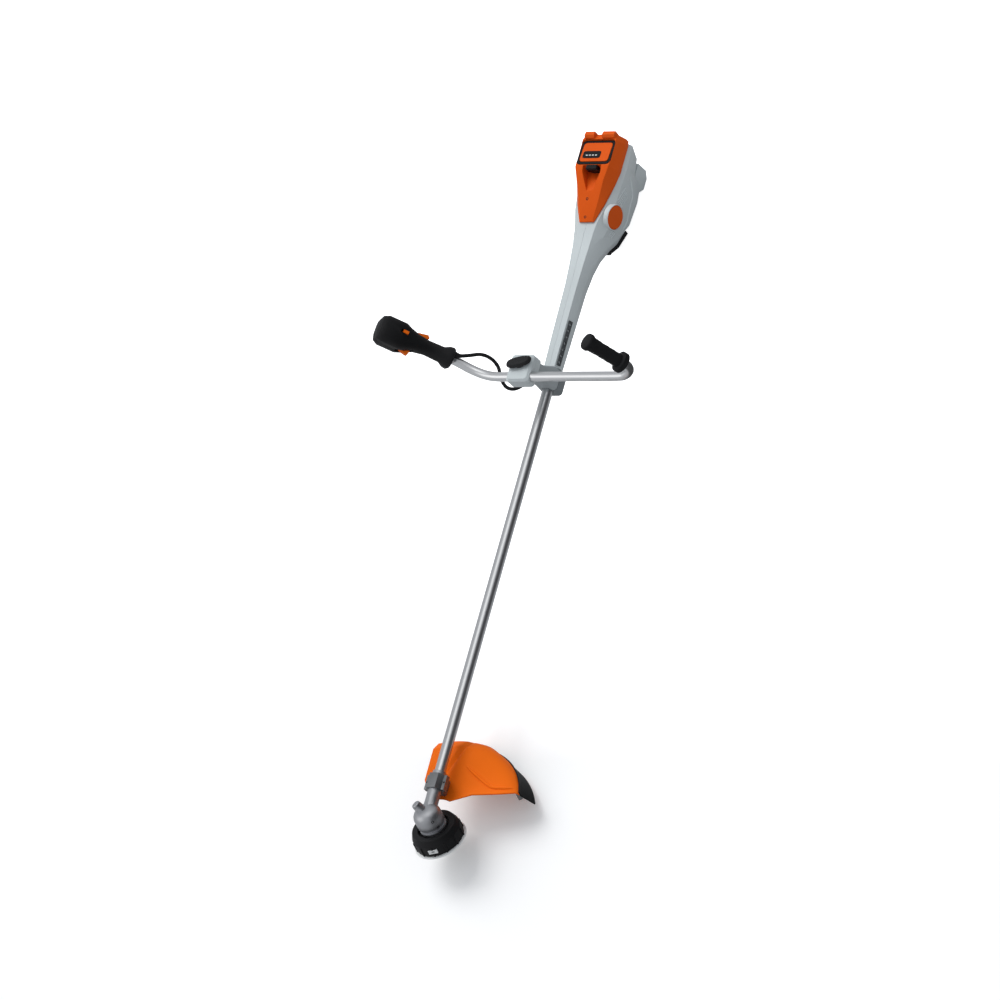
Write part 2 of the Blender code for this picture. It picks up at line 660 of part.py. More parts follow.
# Shaft, drive shaft and its bushes
SHAFT_RADIUS = SHAFT_DIAMETER / 2
GEAR_NECK_RADIUS = GEAR_NECK_DIAMETER / 2
GEAR_NECK_REAR = GEAR_X - 0.020 - GEAR_NECK_LENGTH
SHAFT_FRONT_X = GEAR_NECK_REAR + GEAR_SOCKET_DEPTH - SEAT_GAP
COUPLING_X = MOTOR_X + 0.086
piece("shaft_tube", sleeve(SHAFT_RADIUS, SHAFT_RADIUS - SHAFT_WALL, SHAFT_REAR_X, SHAFT_FRONT_X, 32),
      "aluminium", DRIVE)
piece("drive_shaft", turned([(DRIVE_RADIUS, COUPLING_X), (DRIVE_RADIUS, DRIVE_FRONT)], 16), "steel", DRIVE)
for index, middle in enumerate(BUSH_POSITIONS):
    piece(f"drive_shaft_bush_{index + 1}",
          sleeve(SHAFT_RADIUS - SHAFT_WALL - SEAT_GAP, DRIVE_RADIUS + RUN_GAP, middle - BUSH_LENGTH / 2,
                 middle + BUSH_LENGTH / 2, 20), "black_rubber", DRIVE)

# Guard, a shell swept round the spindle axis behind the cutting head
GUARD_STEPS = 26


def guard_shoulder(angle):
    """Height of the guard's shoulder: level under the shaft, falling to the left."""
    fall = min(max((angle - GUARD_FALL_START) / (GUARD_LEFT - GUARD_FALL_START), 0.0), 1.0)
    fall = fall * fall * (3 - 2 * fall)
    valley = max(1.0 - abs(angle - VALLEY_ANGLE) / VALLEY_HALF_ANGLE, 0.0)
    return GUARD_SHOULDER + (GUARD_SHOULDER_LEFT - GUARD_SHOULDER) * fall - VALLEY_DEPTH * valley


def guard_radius(angle):
    """The shell's rim: full behind the shaft, drawn in to the left where the skirt flares out."""
    share = min(max((angle - DRAW_IN_START) / (GUARD_LEFT - DRAW_IN_START), 0.0), 1.0)
    return GUARD_RADIUS - GUARD_DRAW_IN * share


def guard_bearing(share, radius):
    """The angle of a shell point: the side edges are bowed, so their limits change with the radius."""
    right = float(np.interp(radius, GUARD_EDGE_RADII, GUARD_RIGHT_EDGE))
    left = float(np.interp(radius, GUARD_EDGE_RADII, GUARD_LEFT_EDGE))
    return -right + (right + left) * share


def guard_profile(angle):
    """The guard's outer line in a half plane, hub to rim, as (radius, height)."""
    shoulder = guard_shoulder(angle)
    drop = shoulder - GUARD_RIM_HEIGHT
    rim = guard_radius(angle)
    middle = GUARD_HUB_RADIUS + 0.45 * (rim - 0.045 - GUARD_HUB_RADIUS)
    return [(GUARD_HUB_RADIUS, GUARD_HUB_HEIGHT),
            (middle, GUARD_HUB_HEIGHT + 0.42 * (shoulder - GUARD_HUB_HEIGHT)),
            (rim - 0.045, shoulder),
            (rim - 0.020, shoulder - 0.12 * drop),
            (rim - 0.006, shoulder - 0.40 * drop),
            (rim, GUARD_RIM_HEIGHT + 0.25 * drop),
            (rim, GUARD_RIM_HEIGHT)]


def offset_line(line, distance):
    """The same open line moved sideways by a wall, with mitred corners."""
    points = [Vector(point) for point in line]
    moved = []
    for i, point in enumerate(points):
        normals = []
        for a, b in ((i - 1, i), (i, i + 1)):
            if 0 <= a and b < len(points):
                along = (points[b] - points[a]).normalized()
                normals.append(Vector((along.y, -along.x)))
        total = sum(normals, Vector((0, 0)))
        unit = total.normalized()
        moved.append(point + unit * distance / max(unit.dot(normals[0]), 0.5))
    return [(point.x, point.y) for point in moved]


def polar(radius, height, angle):
    """A point behind the spindle axis at an angle towards the operator's left."""
    return (-radius * math.cos(angle), radius * math.sin(angle), height)


GUARD_HUB_HEIGHT = -0.008
GUARD_SHOULDER = 0.036
GUARD_SHOULDER_LEFT = -0.012
GUARD_FALL_START = math.radians(6.0)
GUARD_EDGE_RADII = (GUARD_HUB_RADIUS, 0.140, 0.187, GUARD_RADIUS)
GUARD_RIGHT_EDGE = np.radians((24.0, 30.0, 18.0, 15.0))
GUARD_LEFT_EDGE = (math.radians(25.0), math.radians(56.0), GUARD_LEFT, GUARD_LEFT)
GUARD_DRAW_IN = 0.020
DRAW_IN_START = math.radians(18.0)
VALLEY_ANGLE = math.radians(8.7)
VALLEY_HALF_ANGLE = math.radians(3.2)
VALLEY_DEPTH = 0.006
guard_rings = []
for step in range(GUARD_STEPS + 1):
    share = step / GUARD_STEPS
    outer = guard_profile(guard_bearing(share, GUARD_RADIUS))
    inner = offset_line(outer, GUARD_WALL)
    guard_rings.append([polar(r, h, guard_bearing(share, r)) for r, h in outer + inner[::-1]])
piece("guard_shell", skin(guard_rings), "orange_plastic", SPINDLE)

# Black skirt under the rim: upright behind the shaft, flared out where the shell is drawn in
SKIRT_FIRST_STEP = 5
SKIRT_OVERLAP = 0.010
SKIRT_KNEE = 0.003
skirt_rings = []
for step in range(SKIRT_FIRST_STEP, GUARD_STEPS + 1):
    share = step / GUARD_STEPS
    rim = guard_radius(guard_bearing(share, GUARD_RADIUS))
    angle = guard_bearing(share, rim)
    near = rim + SEAT_GAP
    far = GUARD_RADIUS + SEAT_GAP
    along = (step - SKIRT_FIRST_STEP) / (GUARD_STEPS - SKIRT_FIRST_STEP)
    low = GUARD_RIM_HEIGHT - SKIRT_DROP - SKIRT_TIP_DROP * along ** 2
    high = GUARD_RIM_HEIGHT + SKIRT_OVERLAP
    knee = GUARD_RIM_HEIGHT - SKIRT_KNEE
    band = [(far, low), (far + SKIRT_WALL, low), (near + SKIRT_WALL, knee + SKIRT_WALL / 2),
            (near + SKIRT_WALL, high), (near, high), (near, knee)]
    skirt_rings.append([polar(r, h, angle) for r, h in band])
piece("guard_skirt", skin(skirt_rings), "black_plastic", SPINDLE)
BLADE_SHARE = 0.97
BLADE_RIM = guard_radius(guard_bearing(BLADE_SHARE, GUARD_RADIUS))
BLADE_ANGLE = guard_bearing(BLADE_SHARE, BLADE_RIM)
BLADE_REACH = 0.010
BLADE_THICKNESS = 0.002
blade = block(-BLADE_RIM, -BLADE_RIM + BLADE_REACH, -BLADE_THICKNESS / 2, BLADE_THICKNESS / 2,
              GUARD_RIM_HEIGHT - SKIRT_DROP + 0.003, GUARD_RIM_HEIGHT - SEAT_GAP)
bmesh.ops.rotate(blade, verts=blade.verts, cent=(0, 0, 0), matrix=Matrix.Rotation(-BLADE_ANGLE, 3, 'Z'))
piece("line_limiter_blade", blade, "steel", SPINDLE)


def in_machine(point, parent):
    """A sub-assembly point in the machine frame."""
    return parent.matrix_basis @ Vector(point)


# Guard clamp on the gearbox neck
GUARD_CLAMP_HALF_WIDTH = 0.0268
GUARD_CLAMP_SCREW_Y = 0.0228
GUARD_SCREW_DIAMETER = 0.004
CLAMP_REAR = GUARD_CLAMP_X - GUARD_CLAMP_LENGTH / 2
CLAMP_FRONT = GUARD_CLAMP_X + GUARD_CLAMP_LENGTH / 2
CLAMP_FLANGE = 0.006
PEDESTAL_HALF_WIDTH = 0.014


def guard_top_z(x):
    """Height of the guard's hub line in the machine's middle plane at a place along the shaft."""
    hub = in_machine(polar(*guard_profile(0.0)[0], 0.0), SPINDLE)
    middle = in_machine(polar(*guard_profile(0.0)[1], 0.0), SPINDLE)
    share = (x - hub.x) / (middle.x - hub.x)
    return hub.z + (middle.z - hub.z) * share


def neck_bore():
    """The round cut that lets a clamp half sit on the gearbox neck."""
    radius = GEAR_NECK_RADIUS + SEAT_GAP
    return cutter(turned([(radius, CLAMP_REAR - 0.02), (radius, CLAMP_FRONT + 0.02)], 28), DRIVE)


def screw_holes(obj, diameter):
    """Two upright holes for the clamp's screws."""
    for side in (-1, 1):
        hole = turned([(diameter / 2, -0.05), (diameter / 2, 0.05)], 12)
        combine(obj, cutter(shifted(hole, (GUARD_CLAMP_X, side * GUARD_CLAMP_SCREW_Y, 0))))


def side_prism(outline, half_width):
    """An (x, z) outline extruded along y."""
    return skin([[(x, -half_width, z) for x, z in outline], [(x, half_width, z) for x, z in outline]])


PEDESTAL_GAP = 3 * SEAT_GAP
CLAMP_CROWN = 0.004


def clamp_outline(sign):
    """Half of the guard clamp across the shaft: two flanges and a crown over the neck."""
    crown = GEAR_NECK_RADIUS + CLAMP_CROWN
    half = [(GUARD_CLAMP_HALF_WIDTH, SEAT_GAP), (GUARD_CLAMP_HALF_WIDTH, CLAMP_FLANGE),
            (GEAR_NECK_RADIUS + 0.003, CLAMP_FLANGE), (GEAR_NECK_RADIUS * 0.72, crown)]
    return [(y, sign * z) for y, z in half] + [(-y, sign * z) for y, z in reversed(half)]


lower = piece("guard_clamp_lower", prism(clamp_outline(-1), CLAMP_REAR, CLAMP_FRONT), "cast_aluminium",
              DRIVE)
pedestal = side_prism([(CLAMP_REAR, -GEAR_NECK_RADIUS), (CLAMP_FRONT, -GEAR_NECK_RADIUS),
                       (CLAMP_FRONT, guard_top_z(CLAMP_FRONT) + PEDESTAL_GAP),
                       (CLAMP_REAR, guard_top_z(CLAMP_REAR) + PEDESTAL_GAP)], PEDESTAL_HALF_WIDTH)
combine(lower, cutter(pedestal), 'UNION')
combine(lower, neck_bore())
screw_holes(lower, GUARD_SCREW_DIAMETER + 2 * SEAT_GAP)
upper = piece("guard_clamp_upper", prism(clamp_outline(1), CLAMP_REAR, CLAMP_FRONT), "cast_aluminium", DRIVE)
combine(upper, neck_bore())
screw_holes(upper, GUARD_SCREW_DIAMETER + 2 * SEAT_GAP)

# Handlebar support: a riser on the shaft with a turntable under the knob screw
KNOB_X = -0.026
BAR_RADIUS = BAR_DIAMETER / 2
TURNTABLE_Z = BAR_HEIGHT - BAR_RADIUS - 0.010
RISER_RADIUS = SHAFT_RADIUS + 0.009
SUPPORT_X = KNOB_X - 0.020
RISER_X = KNOB_X - 0.011
STRAP_HALF_WIDTH = 0.0245
STRAP_BOTTOM_Z = -0.027
SCREW_RADIUS = CLAMP_SCREW_DIAMETER / 2
CAP_TOP = BAR_HEIGHT + CLAMP_CAP_HEIGHT


def riser_section(half_x, half_y, center_x, height):
    """One round-cornered level of the riser."""
    corner = min(half_x, half_y) * 0.35
    return [(center_x + x, y, height) for x, y in rounded_outline(half_x, half_y, corner)]


support = piece("handle_support", skin([
    riser_section(SUPPORT_LENGTH / 2, STRAP_HALF_WIDTH, SUPPORT_X, SEAT_GAP),
    riser_section(SUPPORT_LENGTH / 2, RISER_RADIUS, SUPPORT_X, RISER_RADIUS),
    riser_section(SUPPORT_LENGTH * 0.38, RISER_RADIUS * 0.80, RISER_X, TURNTABLE_Z * 0.62),
    riser_section(CLAMP_LENGTH / 2, SUPPORT_WIDTH / 2, KNOB_X, TURNTABLE_Z - 0.012),
    riser_section(CLAMP_LENGTH / 2, SUPPORT_WIDTH / 2, KNOB_X, TURNTABLE_Z)]), "grey_plastic")


def shaft_cut(x0, x1):
    """The round cut that seats a piece on the shaft tube."""
    radius = SHAFT_RADIUS + SEAT_GAP
    return cutter(turned([(radius, x0 - 0.02), (radius, x1 + 0.02)], 32), DRIVE)


SUPPORT_REAR = SUPPORT_X - SUPPORT_LENGTH / 2
SUPPORT_FRONT = SUPPORT_X + SUPPORT_LENGTH / 2
combine(support, shaft_cut(SUPPORT_REAR, SUPPORT_FRONT))
SCREW_BURIED = 0.030
combine(support, cutter(shifted(turned([(SCREW_RADIUS + SEAT_GAP, TURNTABLE_Z - SCREW_BURIED - SEAT_GAP),
                                        (SCREW_RADIUS + SEAT_GAP, TURNTABLE_Z + 0.01)], 16),
                                        (KNOB_X, 0, 0))))
strap = piece("support_strap", skin([
    riser_section(SUPPORT_LENGTH / 2, STRAP_HALF_WIDTH, SUPPORT_X, -SEAT_GAP),
    riser_section(SUPPORT_LENGTH / 2, STRAP_HALF_WIDTH, SUPPORT_X, -SHAFT_RADIUS),
    riser_section(SUPPORT_LENGTH / 2, STRAP_HALF_WIDTH - 0.002, SUPPORT_X, STRAP_BOTTOM_Z)]), "grey_plastic")
combine(strap, shaft_cut(SUPPORT_REAR, SUPPORT_FRONT))

# The knob screw stands in the riser; saddle, cap and bar swivel about it
SWIVEL = frame("handlebar_swivel_axis", (KNOB_X, 0, BAR_HEIGHT))
SCREW_TOP = CAP_TOP + 0.010
piece("knob_screw", shifted(turned([(SCREW_RADIUS, TURNTABLE_Z - SCREW_BURIED), (SCREW_RADIUS, SCREW_TOP)],
                                   16),
                            (KNOB_X, 0, 0)), "steel")
JAW_FRONT = -KNOB_X + BAR_RADIUS + 0.007
JAW_REAR = -CLAMP_LENGTH / 2
JAW_MIDDLE = (JAW_FRONT + JAW_REAR) / 2
JAW_HALF = (JAW_FRONT - JAW_REAR) / 2


def jaw_level(shrink, height):
    """One level of a bar jaw, in the swivel frame."""
    outline = rounded_outline(JAW_HALF - shrink, CLAMP_WIDTH / 2 - shrink, 0.008)
    return [(JAW_MIDDLE + x, y, height) for x, y in outline]


def bar_cut():
    """The bar's seat between the jaws."""
    radius = BAR_RADIUS + SEAT_GAP
    tool = turned([(radius, -0.06), (radius, 0.06)], 24)
    bmesh.ops.rotate(tool, verts=tool.verts, cent=(0, 0, 0), matrix=Matrix.Rotation(math.pi / 2, 3, 'X'))
    return cutter(shifted(tool, (-KNOB_X, 0, 0)), SWIVEL)


def screw_cut():
    """The knob screw's clearance through a jaw."""
    radius = SCREW_RADIUS + RUN_GAP
    return cutter(turned([(radius, -0.05), (radius, 0.05)], 16), SWIVEL)


SADDLE_LOW = TURNTABLE_Z - BAR_HEIGHT + SEAT_GAP
CAP_HIGH = CAP_TOP - BAR_HEIGHT
saddle = piece("bar_saddle", skin([jaw_level(0.003, SADDLE_LOW), jaw_level(0, SADDLE_LOW + 0.004),
                                   jaw_level(0, -SEAT_GAP)]), "grey_plastic", SWIVEL)
cap = piece("bar_cap", skin([jaw_level(0, SEAT_GAP), jaw_level(0, CAP_HIGH - 0.005),
                             jaw_level(0.005, CAP_HIGH)]),
            "grey_plastic", SWIVEL)
for jaw in (saddle, cap):
    combine(jaw, bar_cut())
    combine(jaw, screw_cut())

KNOB = frame("clamp_knob_axis", (0, 0, CAP_HIGH), parent=SWIVEL)


def knob_ring(half_width, half_length, height, sides=40):
    """One level of the wing knob: a full oval drawn out across the shaft and set a little askew."""
    points = []
    for i in range(sides):
        angle = math.tau * i / sides
        x = half_width * math.copysign(abs(math.cos(angle)) ** KNOB_FULLNESS, math.cos(angle))
        y = half_length * math.copysign(abs(math.sin(angle)) ** KNOB_FULLNESS, math.sin(angle))
        points.append(Matrix.Rotation(KNOB_SKEW, 3, 'Z') @ Vector((x, y, height)))
    return points


KNOB_FULLNESS = 0.80
KNOB_SKEW = math.radians(12.0)
KNOB_HUB_RADIUS = 0.0125
KNOB_BOTTOM = SEAT_GAP
knob = piece("clamp_knob", skin([
    knob_ring(KNOB_HUB_RADIUS, KNOB_HUB_RADIUS, KNOB_BOTTOM),
    knob_ring(KNOB_HUB_RADIUS, KNOB_HUB_RADIUS, KNOB_BOTTOM + 0.004),
    knob_ring(KNOB_WIDTH / 2, KNOB_LENGTH / 2, KNOB_BOTTOM + 0.006),
    knob_ring(KNOB_WIDTH / 2, KNOB_LENGTH / 2, KNOB_HEIGHT - 0.006),
    knob_ring(KNOB_WIDTH / 2 - 0.004, KNOB_LENGTH / 2 - 0.005, KNOB_HEIGHT)]), "black_plastic", KNOB)
combine(knob, cutter(turned([(SCREW_RADIUS + SEAT_GAP, -0.01),
                             (SCREW_RADIUS + SEAT_GAP, SCREW_TOP - CAP_TOP + SEAT_GAP)], 16),
                     KNOB))

# Handlebar route: sharp upturn to the left grip, long rise to the control handle
LEFT_BEND = [(0, 0.268, 0), (-0.002, 0.287, 0.003), (-0.007, 0.301, 0.012), (-0.011, 0.305, 0.026)]
LEFT_GRIP_AXIS = Vector((-0.055, -0.385, 0.921)).normalized()
RIGHT_BEND = [(0, -0.064, 0), (-0.003, -0.094, 0.002), (-0.010, -0.126, 0.013), (-0.020, -0.160, 0.038)]
HANDLE_AXIS = Vector((-0.06, -0.62, 0.78)).normalized()
HANDLE_TUBE_IN = 0.050
GRIP_CAP = 0.006
left_base = Vector(LEFT_BEND[-1])
right_base = Vector(RIGHT_BEND[-1])
STRAIGHT_RUN = 0.012
left_start = left_base + LEFT_GRIP_AXIS * STRAIGHT_RUN
right_start = right_base + HANDLE_AXIS * STRAIGHT_RUN
left_tip = left_start + LEFT_GRIP_AXIS * (LEFT_GRIP_LENGTH - GRIP_CAP - SEAT_GAP)
right_tip = right_start + HANDLE_AXIS * HANDLE_TUBE_IN
bar_points = ([right_tip, right_start + HANDLE_AXIS * STRAIGHT_RUN, right_start]
              + [Vector(p) for p in RIGHT_BEND[::-1]]
              + [Vector((0, y, 0)) for y in (-0.035, 0.0, 0.10, 0.20)]
              + [Vector(p) for p in LEFT_BEND]
              + [left_start, left_start + LEFT_GRIP_AXIS * STRAIGHT_RUN, left_tip])
bar_path = [point + Vector((-KNOB_X, 0, 0)) for point in thinned(spline(bar_points, 4))]
piece("handlebar_tube", swept_tube(bar_path, BAR_RADIUS, BAR_RADIUS - BAR_WALL, 16), "aluminium", SWIVEL)


def axis_frame(name, base, direction, forward, parent):
    """A frame whose z runs along a grip and whose x points forward."""
    side = direction.cross(forward).normalized()
    return frame(name, base, axes(side.cross(direction), side, direction), parent)


FORWARD = Vector((1, 0, 0))
SWIVEL_SHIFT = Vector((-KNOB_X, 0, 0))
LEFT_GRIP = axis_frame("left_grip_axis", left_start + SWIVEL_SHIFT, LEFT_GRIP_AXIS, FORWARD, SWIVEL)
GRIP_RADIUS = LEFT_GRIP_DIAMETER / 2
GRIP_START = 0.001
grip_profile = [(LEFT_GRIP_FLANGE / 2 - 0.002, GRIP_START), (LEFT_GRIP_FLANGE / 2, GRIP_START + 0.002),
                (LEFT_GRIP_FLANGE / 2, GRIP_START + 0.006), (GRIP_RADIUS + 0.002, GRIP_START + 0.010)]
GRIP_RINGS = 4
for ring in range(GRIP_RINGS):
    low = GRIP_START + 0.014 + ring * (LEFT_GRIP_LENGTH - GRIP_START - 0.034) / GRIP_RINGS
    grip_profile += [(GRIP_RADIUS - 0.0008, low), (GRIP_RADIUS, low + 0.003)]
grip_profile += [(GRIP_RADIUS + 0.001, LEFT_GRIP_LENGTH - 0.016),
                 (GRIP_RADIUS + 0.004, LEFT_GRIP_LENGTH - 0.010),
                 (GRIP_RADIUS + 0.004, LEFT_GRIP_LENGTH - 0.003), (GRIP_RADIUS + 0.001, LEFT_GRIP_LENGTH)]
left_grip = piece("left_grip", turned(grip_profile, 20), "black_rubber", LEFT_GRIP)
combine(left_grip, cutter(turned([(BAR_RADIUS + SEAT_GAP, -0.02),
                                  (BAR_RADIUS + SEAT_GAP, LEFT_GRIP_LENGTH - GRIP_CAP)], 20),
                          LEFT_GRIP))


# Control handle on the bar's right end: x points forward to the trigger side
HANDLE = axis_frame("control_handle_axis", right_start + SWIVEL_SHIFT, HANDLE_AXIS, FORWARD, SWIVEL)
HANDLE_GRIP_RADIUS = HANDLE_GRIP_DIAMETER / 2
HEAD_START = HANDLE_LENGTH - 0.084
TRIGGER_Z = HEAD_START + 0.016
LOCKOUT_Z = HEAD_START - 0.006
SHELL_HALF_GAP = SEAT_GAP / 2


def handle_level(half_x, half_y, shift_x, height, corner):
    """One round-cornered section of the handle across its axis."""
    return [(shift_x + x, y, height) for x, y in rounded_outline(half_x, half_y, corner, 3)]


def handle_body():
    """The whole moulded handle before it is parted into two shells."""
    r = HANDLE_GRIP_RADIUS
    wide = HANDLE_HEAD_WIDTH / 2
    deep = HANDLE_HEAD_DEPTH / 2
    lead = 0.004
    return skin([
        handle_level(r + 0.003, r + 0.003, 0, 0.001, r * 0.95),
        handle_level(r + 0.006, r + 0.006, 0, 0.006, r * 0.98),
        handle_level(r + 0.005, r + 0.005, 0, 0.016, r * 0.98),
        handle_level(r, r - 0.001, 0, 0.028, r * 0.9),
        handle_level(r - 0.001, r - 0.002, 0, HEAD_START - 0.040, r * 0.85),
        handle_level(r + 0.002, r, 0.001, HEAD_START - 0.014, r * 0.8),
        handle_level(deep - 0.004, wide - 0.005, lead, HEAD_START + 0.010, 0.014),
        handle_level(deep, wide, lead, HEAD_START + 0.024, 0.014),
        handle_level(deep, wide, lead, HANDLE_LENGTH - 0.016, 0.014),
        handle_level(deep - 0.005, wide - 0.004, lead, HANDLE_LENGTH - 0.004, 0.013),
        handle_level(deep - 0.014, wide - 0.012, lead, HANDLE_LENGTH, 0.010)])


def handle_cuts():
    """Every pocket that both shells share: tube, trigger, lockout, slider and switch."""
    tube = turned([(BAR_RADIUS + SEAT_GAP, -0.02), (BAR_RADIUS + SEAT_GAP, HANDLE_TUBE_IN + SEAT_GAP)], 16)
    trigger_slot = block(TRIGGER_BACK - 0.007, 0.06, -TRIGGER_WIDTH / 2 - SLIDE_GAP,
                         TRIGGER_WIDTH / 2 + SLIDE_GAP,
                         TRIGGER_Z - 0.029, TRIGGER_Z + 0.012)
    lockout_slot = block(-0.06, LOCKOUT_FRONT + 0.007, -LOCKOUT_WIDTH / 2 - SLIDE_GAP,
                         LOCKOUT_WIDTH / 2 + SLIDE_GAP,
                         LOCKOUT_Z - 0.036, LOCKOUT_Z + 0.008)
    slider_slot = block(SLIDER_X - SLIDER_WIDTH / 2 - SLIDE_GAP, SLIDER_X + SLIDER_WIDTH / 2 + SLIDE_GAP,
                        HANDLE_HEAD_WIDTH / 2 - 0.009, 0.06,
                        SLIDER_Z - SLIDER_LENGTH / 2 - SLIDE_GAP,
                        SLIDER_Z + SLIDER_LENGTH / 2 + SLIDER_TRAVEL + SLIDE_GAP)
    switch = block(SWITCH_X - SWITCH_DEPTH / 2 - SEAT_GAP, SWITCH_X + SWITCH_DEPTH / 2 + SEAT_GAP,
                   -SWITCH_WIDTH / 2 - SEAT_GAP, SWITCH_WIDTH / 2 + SEAT_GAP,
                   SWITCH_Z - SWITCH_HEIGHT / 2 - SEAT_GAP, SWITCH_Z + SWITCH_HEIGHT / 2 + SEAT_GAP)
    pins = []
    for x, z in ((TRIGGER_PIVOT_X, TRIGGER_PIVOT_Z), (LOCKOUT_PIVOT_X, LOCKOUT_PIVOT_Z)):
        pins.append(cross_pin(PIN_DIAMETER / 2 + SEAT_GAP, PIN_LENGTH / 2 + SEAT_GAP, x, z))
    return [tube, trigger_slot, lockout_slot, slider_slot, switch] + pins


def cross_pin(radius, half_length, x, z):
    """A round pin across the handle."""
    pin = turned([(radius, -half_length), (radius, half_length)], 12)
    bmesh.ops.rotate(pin, verts=pin.verts, cent=(0, 0, 0), matrix=Matrix.Rotation(math.pi / 2, 3, 'X'))
    return shifted(pin, (x, 0, z))


TRIGGER_WIDTH = 0.012
TRIGGER_BACK = 0.004
TRIGGER_PIVOT_X = 0.016
TRIGGER_PIVOT_Z = TRIGGER_Z + 0.006
LOCKOUT_WIDTH = 0.012
LOCKOUT_FRONT = -0.010
LOCKOUT_PIVOT_X = -0.0135
LOCKOUT_PIVOT_Z = LOCKOUT_Z + 0.002
PIN_LENGTH = 0.024
SLIDER_WIDTH = 0.007
SLIDER_LENGTH = 0.013
SLIDER_X = -0.003
SLIDER_Z = HEAD_START + 0.022
SWITCH_X = 0.006
SWITCH_Z = TRIGGER_Z + 0.024
SWITCH_WIDTH = 0.010
SWITCH_DEPTH = 0.020
SWITCH_HEIGHT = 0.012
for label, sign in (("right", -1), ("left", 1)):
    shell = piece(f"control_handle_{label}_shell", handle_body(), "black_plastic", HANDLE)
    away = block(-0.1, 0.1, -0.1, SHELL_HALF_GAP, -0.1, 0.3)
    if sign < 0:
        bmesh.ops.rotate(away, verts=away.verts, cent=(0, 0, 0), matrix=Matrix.Rotation(math.pi, 3, 'Z'))
    combine(shell, cutter(away, HANDLE))
    for tool in handle_cuts():
        combine(shell, cutter(tool, HANDLE))
for label, x, z in (("trigger", TRIGGER_PIVOT_X, TRIGGER_PIVOT_Z),
                    ("lockout", LOCKOUT_PIVOT_X, LOCKOUT_PIVOT_Z)):
    piece(f"{label}_pin", cross_pin(PIN_DIAMETER / 2, PIN_LENGTH / 2, x, z), "steel", HANDLE)
piece("trigger_switch", block(SWITCH_X - SWITCH_DEPTH / 2, SWITCH_X + SWITCH_DEPTH / 2, -SWITCH_WIDTH / 2,
                              SWITCH_WIDTH / 2, SWITCH_Z - SWITCH_HEIGHT / 2, SWITCH_Z + SWITCH_HEIGHT / 2),
      "black_plastic", HANDLE)


def lever(outline, width, pivot_x, pivot_z, name, parent):
    """A flat lever from an (x, z) outline, bored for its pin."""
    body = side_prism([(x - pivot_x, z - pivot_z) for x, z in outline], width / 2)
    obj = piece(name, body, "orange_plastic", parent)
    combine(obj, cutter(cross_pin(PIN_DIAMETER / 2 + SEAT_GAP, width, 0, 0), parent))
    return obj


TRIGGER = frame("trigger_axis", (TRIGGER_PIVOT_X, 0, TRIGGER_PIVOT_Z), parent=HANDLE)
lever([(TRIGGER_PIVOT_X - 0.005, TRIGGER_PIVOT_Z - 0.006),
       (TRIGGER_PIVOT_X - 0.003, TRIGGER_PIVOT_Z + 0.0045),
       (TRIGGER_PIVOT_X + 0.005, TRIGGER_PIVOT_Z + 0.005),
       (TRIGGER_PIVOT_X + 0.017, TRIGGER_PIVOT_Z - 0.004),
       (TRIGGER_PIVOT_X + 0.020, TRIGGER_PIVOT_Z - 0.012),
       (TRIGGER_PIVOT_X + 0.022, TRIGGER_PIVOT_Z - 0.024),
       (TRIGGER_PIVOT_X + 0.012, TRIGGER_PIVOT_Z - 0.027),
       (TRIGGER_PIVOT_X + 0.003, TRIGGER_PIVOT_Z - 0.024)],
      TRIGGER_WIDTH, TRIGGER_PIVOT_X, TRIGGER_PIVOT_Z, "trigger", TRIGGER)
LOCKOUT = frame("lockout_axis", (LOCKOUT_PIVOT_X, 0, LOCKOUT_PIVOT_Z), parent=HANDLE)
lever([(LOCKOUT_PIVOT_X + 0.0035, LOCKOUT_PIVOT_Z + 0.004),
       (LOCKOUT_PIVOT_X - 0.004, LOCKOUT_PIVOT_Z + 0.0045),
       (LOCKOUT_PIVOT_X - 0.010, LOCKOUT_PIVOT_Z - 0.006),
       (LOCKOUT_PIVOT_X - 0.015, LOCKOUT_PIVOT_Z - 0.030),
       (LOCKOUT_PIVOT_X - 0.009, LOCKOUT_PIVOT_Z - 0.035),
       (LOCKOUT_PIVOT_X - 0.0035, LOCKOUT_PIVOT_Z - 0.030),
       (LOCKOUT_PIVOT_X + 0.0035, LOCKOUT_PIVOT_Z - 0.004)],
      LOCKOUT_WIDTH, LOCKOUT_PIVOT_X, LOCKOUT_PIVOT_Z, "lockout_lever", LOCKOUT)
SLIDER = frame("slider_axis", (SLIDER_X, HANDLE_HEAD_WIDTH / 2, SLIDER_Z), parent=HANDLE)
piece("mode_slider", block(-SLIDER_WIDTH / 2, SLIDER_WIDTH / 2, -0.009 + SEAT_GAP, 0.002,
                           -SLIDER_LENGTH / 2, SLIDER_LENGTH / 2), "orange_plastic", SLIDER)


# Motor housing: grey body in two halves from eight-sided sections
def body_section(x, half_top, half_side, top, bottom, chamfer, waist):
    """An eight-sided housing section: top facet, flanks drawn in below by the waist, narrower belly."""
    half = [(half_top, top), (half_side, top - chamfer), (half_side * waist, bottom + chamfer * 1.4),
            (half_top * 0.72 * waist, bottom)]
    return [(x, y, z) for y, z in half] + [(x, -y, z) for y, z in reversed(half)]


